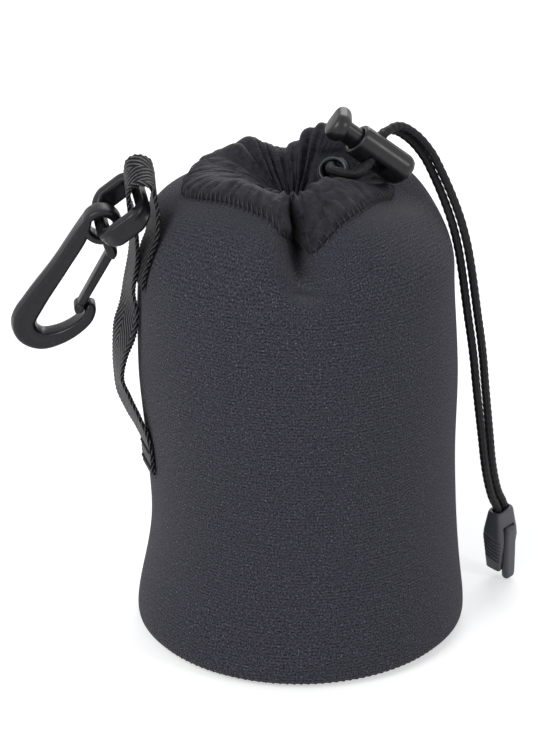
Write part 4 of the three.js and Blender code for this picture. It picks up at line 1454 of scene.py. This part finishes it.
@dataclass
class WebbingStrap(Assembly):
    """The belt loop: one length of webbing, sewn at both ends, bowed off the side and looped round the ring.

    Each point of its line has a direction across the webbing. The pinch is the height at which the ring
    gathers it, the share of the width that this takes, and the length over which it eases.
    """

    width: float = 12.0
    thickness: float = 1.3
    pick: float = 1.15
    pinch: Point = (137.5, 0.19, 6.0)
    swell: Span = (0.16, 0.3)
    line: Points = (
        (-45.9, -13.17, 54.2), (-46.14, -13.23, 58), (-46.5, -13.3, 62.5), (-47.9, -12.6, 66.5),
        (-50.2, -11.7, 71), (-53, -10.6, 77), (-54.4, -10.1, 83), (-53.9, -9.8, 90), (-52.3, -9.5, 97),
        (-50.95, -9.1, 103), (-50.75, -8.8, 110), (-49.2, -8.25, 119.5), (-48.9, -9.5, 130.5),
        (-49.8, -10.4, 134), (-50.25, -11.5, 138.3), (-50.2, -12.75, 143), (-49.3, -13.5, 145.5),
        (-46.9, -13.9, 146.6), (-44.2, -13.6, 145.6), (-43.05, -13, 143.2), (-42.6, -12.4, 138.5),
        (-42.8, -12.3, 133.5), (-43.35, -12.25, 127.8), (-45.05, -12.35, 123), (-46.45, -12.25, 118.5),
        (-47.2, -12.15, 115.5), (-47.68, -12.1, 112.5),
    )
    across: Points = (
        *((0.276, -0.961, 0),) * 3,
        (0.37, -0.929, 0), (0.43, -0.903, 0), (0.41, -0.912, 0), (0.26, -0.966, 0), (0.36, -0.933, 0),
        (0.56, -0.828, 0), (0.48, -0.877, 0), (0.28, -0.96, 0), (0.24, -0.971, 0), (0.15, -0.95, -0.27),
        *((0.12, -0.87, -0.48),) * 8,
        (0.2, -0.93, -0.3),
        *((0.26, -0.966, 0),) * 5,
    )

    def middle(self) -> tuple[Array, Array, Array]:
        """Middle line of the webbing, with the directions across it and out of it."""
        line, across = even(spline(self.line, 700), 800, spline(self.across, 700, 0))
        return line, *crossways(line, across)

    def build(self) -> None:
        """Carries a flat rounded section along the line; the edges swell with each pick of the weft.

        Where it runs through the ring the webbing is gathered narrower, as a bell curve of the length.
        """
        line, side, up = self.middle()
        along = lengths(line)[:, None]
        height, share, spread = self.pinch
        outer = slice(line[:, 2].argmax())
        ring = np.interp(height, line[outer, 2], along[outer, 0])
        pick = np.cos(2 * np.pi * along / self.pick)
        x, y = np.moveaxis(superoval(self.width, self.thickness, 6, 56, np.pi / 2), -1, 0)
        edge = np.abs(x / (self.width / 2)) ** 10
        wider, thicker = self.swell
        y = y * (1 + thicker * edge * (1 + pick) / 2)
        x = (1 - share * bell(along - ring, spread)) * x + wider * pick * edge * np.sign(x)
        grid = sweep(line, side, up, np.stack([x, y], -1))
        self.piece("webbing_loop", [Patch(grid)], Slot.WEBBING, "webbing_strap")


@dataclass
class SnapHook(Assembly):
    """The ring in the strap's loop, and the snap hook with its sprung gate.

    A point of the hook's line has the width of the bar as its third number.
    """

    place: Place = Place(
        (-46.9, -11, 138.4),
        (0.99277, 0.11687, 0.02719),
        (0, -0.22662, 0.97398),
        (0.11999, -0.96694, -0.22499),
    )
    ring_thickness: float = 3.4
    ring_band: Span = (3.8, 6.3)
    ring_twist: float = 0.16
    ring_reach: float = 14.2
    ring_inner: float = 14.0
    ring_corner: float = 4.2
    ring_slope: float = math.radians(217.5)
    ring_groove: Point = (0.28, 0.9, 0.35)
    thickness: float = 6.0
    eye_radius: float = 5.9
    eye_bore: float = 3.22
    flange: float = 0.4
    flange_end: float = 0.86
    channel: float = 0.3
    channel_start: Span = (0.04, 0.16)
    channel_end: Span = (0.8, 0.95)
    nose: Span = (0.965, 0.036)
    hook_line: Points = (
        (-3.9, 2.3, 2.5), (-4.8, 0.2, 3.5), (-6.4, -3, 4.5), (-12.7, -13, 4.9), (-20.85, -25, 6.2),
        (-24.2, -31.2, 6.9), (-23.4, -35.4, 7), (-19.7, -38, 5.9), (-14.2, -37.2, 4.8), (-8.8, -34.2, 4),
        (-5.4, -30.6, 3.6), (-4.1, -26.2, 3.2),
    )
    lug_foot: float = 1.2
    lug_width: Span = (3.2, 3.4)
    gate_pivot: Span = (2.4, -8.9)
    gate_tip: Span = (-7.8, -27.5)
    gate_knob: Span = (3.2, 5.2)
    gate_width: Span = (2.6, 2.21)
    gate_depth: float = 4.4
    knuckle: float = 3.0

    def ring(self) -> Patch:
        """Ring: a rounded band with two fine grooves on its outer face, carried round a rounded rectangle.

        The band is wider along the two sides than at the two ends, by the square of how far it faces
        sideways, and the whole is twisted a little about its length.

        Returns:
            The ring's surface.
        """
        half = np.array([self.ring_reach, self.ring_inner + self.ring_thickness]) / 2
        turn = circle(144)
        corner = np.sign(heading(turn + 1e-6)) * (half - self.ring_corner) + self.ring_corner * heading(turn)
        path = even(np.concatenate([corner, corner[:1]]), 181)[0][:-1]
        outward = unit(np.roll(path, -1, 0) - np.roll(path, 1, 0))[:, ::-1] * (1, -1)
        narrow, wide = self.ring_band
        section = superoval(self.ring_thickness, narrow + (wide - narrow) * outward[:, 1] ** 2, 4, 48)
        depth, place, spread = self.ring_groove
        groove = depth * bell(np.abs(section[..., 1:]) - place, spread) * (section[..., :1] > 0.5)
        flat = path[:, None] + (section[..., :1] - groove) * outward[:, None] + (self.ring_reach / 2, 0)
        along, normal = heading(self.ring_slope), heading(self.ring_slope + np.pi / 2)
        plane = flat[..., :1] * along + (section[..., 1:] + self.ring_twist * flat[..., 1:]) * normal
        return Patch(self.place.out(np.concatenate([plane, flat[..., 1:]], -1)), True)

    def hook_place(self) -> Place:
        """Place of the hook, on the middle of the ring's far bar."""
        return self.place.moved(*(self.ring_reach * heading(self.ring_slope)))

    def bar(self) -> Patch:
        """Hook's bar: a rounded section with a shallow channel on both faces and a thin flange between.

        Returns:
            The bar's surface, with a round tip at the nose.
        """
        bent = spline(self.hook_line, 600, 0.5, True)
        line, width = even(bent[:, :2], 190, bent[:, 2:])
        share = np.linspace(0, 1, len(line))[:, None]
        start, reach = self.nose
        tip = np.sqrt(np.clip(1 - (np.maximum(share - start, 0) / reach) ** 2, 0.04, 1))
        half = width * tip / 2
        depth = self.thickness * (0.35 + 0.65 * tip)
        n, z = np.moveaxis(superoval(2 * half[:, 0], depth[:, 0], 4, 64), -1, 0)
        lip = self.flange * np.sin(np.pi * np.clip(share / self.flange_end, 0, 1))
        n = n + np.sign(n) * lip * bell(z, 1.0) * smoothstep(np.abs(n) / half, 0.7, 1)
        pressed = smoothstep(share, *self.channel_start) * fade(share, *self.channel_end)
        z = z - np.sign(z) * self.channel * bell(n, 0.42 * half) * pressed
        return Patch(self.hook_place().out(planar(line, np.stack([n, z], -1))))

    def eye(self) -> Patch:
        """Eye: a rounded band carried round a circle.

        Returns:
            The eye's surface.
        """
        section = superoval(self.eye_radius - self.eye_bore, self.thickness, 3, 40)[0]
        grid = lathe(section + ((self.eye_radius + self.eye_bore) / 2, 0), 96).swapaxes(0, 1)
        return Patch(self.hook_place().out(grid), True)

    def straight(self, start: Span, end: Span, width: Span, depth: float) -> Patch:
        """A flat bar between two points, with round ends: the width shrinks as a circle at both.

        Args:
            start: First point.
            end: Second point.
            width: Full width at the start and at the end.
            depth: Size out of the hook's plane.

        Returns:
            The bar's surface.
        """
        a, b = np.array(start), np.array(end)
        reach = np.linalg.norm(b - a)
        at = (1 - np.cos(np.linspace(0, np.pi, 61))) / 2 * (reach + sum(width) / 2) - width[0] / 2
        full = width[0] + (width[1] - width[0]) * np.clip(at / reach, 0, 1)
        over = np.where(at < 0, -at / (width[0] / 2), np.maximum(at - reach, 0) / (width[1] / 2))
        section = superoval(full * np.sqrt(np.clip(1 - over**2, 0.02, 1)), depth, 4, 40)
        return Patch(self.hook_place().out(planar(a + at[:, None] * unit(b - a), section)))

    def disc(self, centre: Span, way: Span, width: float, depth: float) -> Patch:
        """A round disc: a bar whose ends are a hundredth of a millimetre apart along two axes."""
        return self.straight(centre, np.add(centre, np.multiply(way, 0.01)), (width, width), depth)

    def build(self) -> None:
        """Builds the ring, the hook and the gate, each on its own body."""
        slot, pivot, tip = Slot.GLOSS_PLASTIC, self.gate_pivot, self.gate_tip
        self.piece("ring_band", [self.ring()], slot, "hook_ring", Body.RING, 60)
        root = (self.lug_foot, -(self.eye_radius + self.eye_bore) / 2)
        lug = self.straight(root, pivot, self.lug_width, self.thickness)
        self.piece("hook_moulded", [self.bar(), self.eye(), lug], slot, "hook_body", Body.HOOK, 60)
        blade = self.straight(pivot, tip, self.gate_width, self.gate_depth)
        knuckle = self.disc(pivot, (-1, 1), self.knuckle, self.gate_depth)
        knob = self.disc(tip, (-1, -1), *self.gate_knob)
        self.piece("gate_moulded", [blade, knuckle, knob], slot, "hook_gate", Body.GATE, 60)


@dataclass
class Stitching(Assembly):
    """Sewing thread: the collar's seam, the overlocked base edge and the tacks at the strap's foot."""

    thread: float = 0.4
    lofts: Point = (0.4, 0.3, 0.25)
    rim_share: float = 0.988
    rim_slant: float = 1.6
    rim_middle: Point = (-3.7, 0, 118)
    collar_row: int = 5
    collar_columns: int = 4
    base_shares: Span = (0.004, 0.022)
    base_slant: float = 1.1
    base_lean: Point = (0, 0, 12)
    tack_heights: Span = (55.5, 60.5)
    tack_step: float = 0.75
    tack_reach: float = 5.0
    tack_rise: float = 0.62
    tack_size: Span = (0.45, 1.5)

    def stitches(self, start: Array, end: Array, out: Array, loft: float) -> Patch:
        """Short arched threads: each is a six-sided tube on a sine arch from start to end.

        Args:
            start: First points.
            end: Second points.
            out: Direction in which each arches.
            loft: Height of the arch.

        Returns:
            All the threads as equal grids.
        """
        t, turn = np.linspace(0, 1, 6)[:, None, None], circle(6)[:, None]
        start, run, rise = (a[:, None, None] for a in (start, end - start, out))
        side = unit(np.cross(run, rise))
        radius = self.thread / 2 * (0.45 + 0.55 * np.sin(np.pi * t))
        middle = start + run * t + rise * loft * np.sin(np.pi * t)
        return Patch(middle + radius * (np.cos(turn) * side + np.sin(turn) * rise))

    def build(self, panel: FoamPanel, collar: GatheredCollar, strap: WebbingStrap) -> None:
        """Sews the collar to the panel's rim, the base to its foot, and the strap's foot with two rows.

        Args:
            panel: Panel that the collar and the base are sewn to.
            collar: Collar whose lower edge is sewn.
            strap: Strap whose foot is tacked.
        """
        grid, azimuth = collar.grid()
        every = slice(0, None, self.collar_columns)
        start = panel.surface(azimuth + self.rim_slant, np.array([[self.rim_share]]))[0, every]
        end = grid[self.collar_row, every]
        threads = self.stitches(start, end, unit(end - np.array(self.rim_middle)), self.lofts[0])
        self.piece("seam_thread_collar", [threads], Slot.THIN_CLOTH, finish=THREAD.material())
        azimuth = np.degrees(circle(panel.overlock_loops))
        low, high = np.array(self.base_shares)[:, None]
        start, end = panel.surface(azimuth, low), panel.surface(azimuth + self.base_slant, high)
        out = unit((start + end) / 2 * (1, 1, 0) - self.base_lean)
        self.piece("seam_thread_base", [self.stitches(start, end, out, self.lofts[1])], Slot.KNIT)
        self.tacks(*strap.middle())

    def tacks(self, line: Array, side: Array, up: Array) -> None:
        """Sews two rows of stitches across the strap at its foot.

        Args:
            line: Middle line of the strap.
            side: Directions across it.
            up: Directions out of it.
        """
        rows = np.searchsorted(line[: len(line) // 2, 2], self.tack_heights)
        shifts = np.arange(-self.tack_reach, self.tack_reach, self.tack_step)[:, None]
        ahead = unit(np.gradient(line, axis=0))
        line, side, up, ahead = (a[rows, None] for a in (line, side, up, ahead))
        out = -up * np.sign(up[..., :1]) + 0 * shifts
        start = line + shifts * side + self.tack_rise * out
        end = start + self.tack_size[0] * side + self.tack_size[1] * ahead
        threads = self.stitches(*(a.reshape(-1, 3) for a in (start, end, out)), self.lofts[2])
        self.piece("strap_tack_thread", [threads], Slot.WEBBING)


# The photograph's studio


@dataclass(frozen=True)
class Lamp:
    """A square soft light: where it stands and its side in metres, and its power in watts."""

    name: str
    place: Point
    size: float
    power: float


@dataclass
class Studio:
    """The pale floor, the soft lights and the camera of the photograph."""

    elevation: float = 22.5
    distance: float = 650.0
    target: Point = (-10.4, 0, 78.4)
    focal_pixels: float = 2167.1
    frame_height: int = 750
    sensor: float = 36.0
    floor_reach: float = 6.0
    lamp_target: Point = (0, 0, 0.08)
    lamps: tuple[Lamp, ...] = (
        Lamp("key", (-0.75, -0.75, 0.95), 0.7, 9.0),
        Lamp("fill", (0.9, -0.6, 0.55), 0.25, 2.4),
        Lamp("rim", (0.25, 0.9, 0.85), 0.7, 5.0),
    )

    def build(self) -> None:
        """Sets the view, the floor, the world, the lamps and the camera."""
        bpy.context.scene.view_settings.view_transform = "Standard"
        self.floor()
        self.world()
        for lamp in self.lamps:
            data = bpy.data.lights.new(lamp.name, "AREA")
            data.size, data.energy = lamp.size, lamp.power
            self.face(linked(lamp.name, data), np.array(lamp.place), np.array(self.lamp_target))
        self.camera()

    @staticmethod
    def seen(nodes: Nodes) -> Socket:
        """1 for rays from the camera, from a reflection or through a clear body, and 0 for the rest."""
        camera, glossy, clear = (
            nodes.add("LightPath", {}, f"Is {kind} Ray") for kind in ("Camera", "Glossy", "Transmission")
        )
        return nodes.math("MAXIMUM", nodes.math("MAXIMUM", camera, glossy), clear)

    def floor(self) -> None:
        """A wide floor that is white to the camera where no shadow falls on it."""
        mesh = bpy.data.meshes.new("floor")
        square = np.array([(-1, -1, 0), (1, -1, 0), (1, 1, 0), (-1, 1, 0)])
        mesh.from_pydata((self.floor_reach * square).tolist(), [], [(0, 1, 2, 3)])
        made = bpy.data.materials.new("pale_studio_floor")
        nodes = Nodes.of(made)
        dark = nodes.add("Emission", {"Strength": 0.0})
        glow = nodes.add("Emission", {"Color": "#FFFFFF", "Strength": 0.5})
        lift = nodes.add("MixShader", {0: self.seen(nodes), 1: dark, 2: glow})
        both = nodes.add("AddShader", {0: nodes.add("BsdfDiffuse", {"Color": "#E4E4E4"}), 1: lift})
        nodes.add("OutputMaterial", {"Surface": both})
        mesh.materials.append(made)
        linked("floor", mesh)

    def world(self) -> None:
        """White to the camera and in reflections, and a plain soft light elsewhere."""
        world = bpy.data.worlds.new("studio")
        bpy.context.scene.world = world
        nodes = Nodes.of(world)
        soft = nodes.add("Background", {"Color": "#F4F6FA", "Strength": 0.45})
        white = nodes.add("Background", {"Color": "#FFFFFF", "Strength": 1.0})
        both = nodes.add("MixShader", {0: self.seen(nodes), 1: soft, 2: white})
        nodes.add("OutputWorld", {"Surface": both})

    def camera(self) -> None:
        """The photograph's camera: raised by the elevation, at the distance, looking at the target."""
        data = bpy.data.cameras.new("camera")
        data.sensor_fit, data.sensor_height = "VERTICAL", self.sensor
        data.lens = self.focal_pixels / self.frame_height * self.sensor
        data.clip_start = 0.02
        made = linked("camera", data)
        rise, aim = math.radians(self.elevation), np.array(self.target) * MM
        self.face(made, aim + self.distance * MM * np.array([0, -math.cos(rise), math.sin(rise)]), aim)
        bpy.context.scene.camera = made

    @staticmethod
    def face(made: bpy.types.Object, place: Array, aim: Array) -> None:
        """Stands a light or camera at a place and turns it to look at a point.

        Args:
            made: Light or camera.
            place: Where it stands.
            aim: What it looks at.
        """
        back = unit(place - aim)
        right = unit(np.cross([0, 0, 1], back))
        turn = np.eye(4)
        turn[:3] = np.stack([right, np.cross(back, right), back, place], 1)
        made.matrix_world = turn.T.tolist()


def main() -> None:
    """Loads the frame, builds every sub-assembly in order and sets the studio."""
    logging.basicConfig(level=logging.INFO, format="%(name)s: %(message)s")
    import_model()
    finishes = {slot: finish.material() for slot, finish in FINISHES.items()}
    Studio().build()
    ends = CordEnd(finishes).build()
    Drawstring(finishes).build(ends)
    panel, collar, strap = FoamPanel(finishes), GatheredCollar(finishes), WebbingStrap(finishes)
    panel.build()
    collar.build()
    Eyelet(finishes).build()
    CordLock(finishes).build()
    strap.build()
    SnapHook(finishes).build()
    Stitching(finishes).build(panel, collar, strap)


if __name__ == "__main__":
    main()
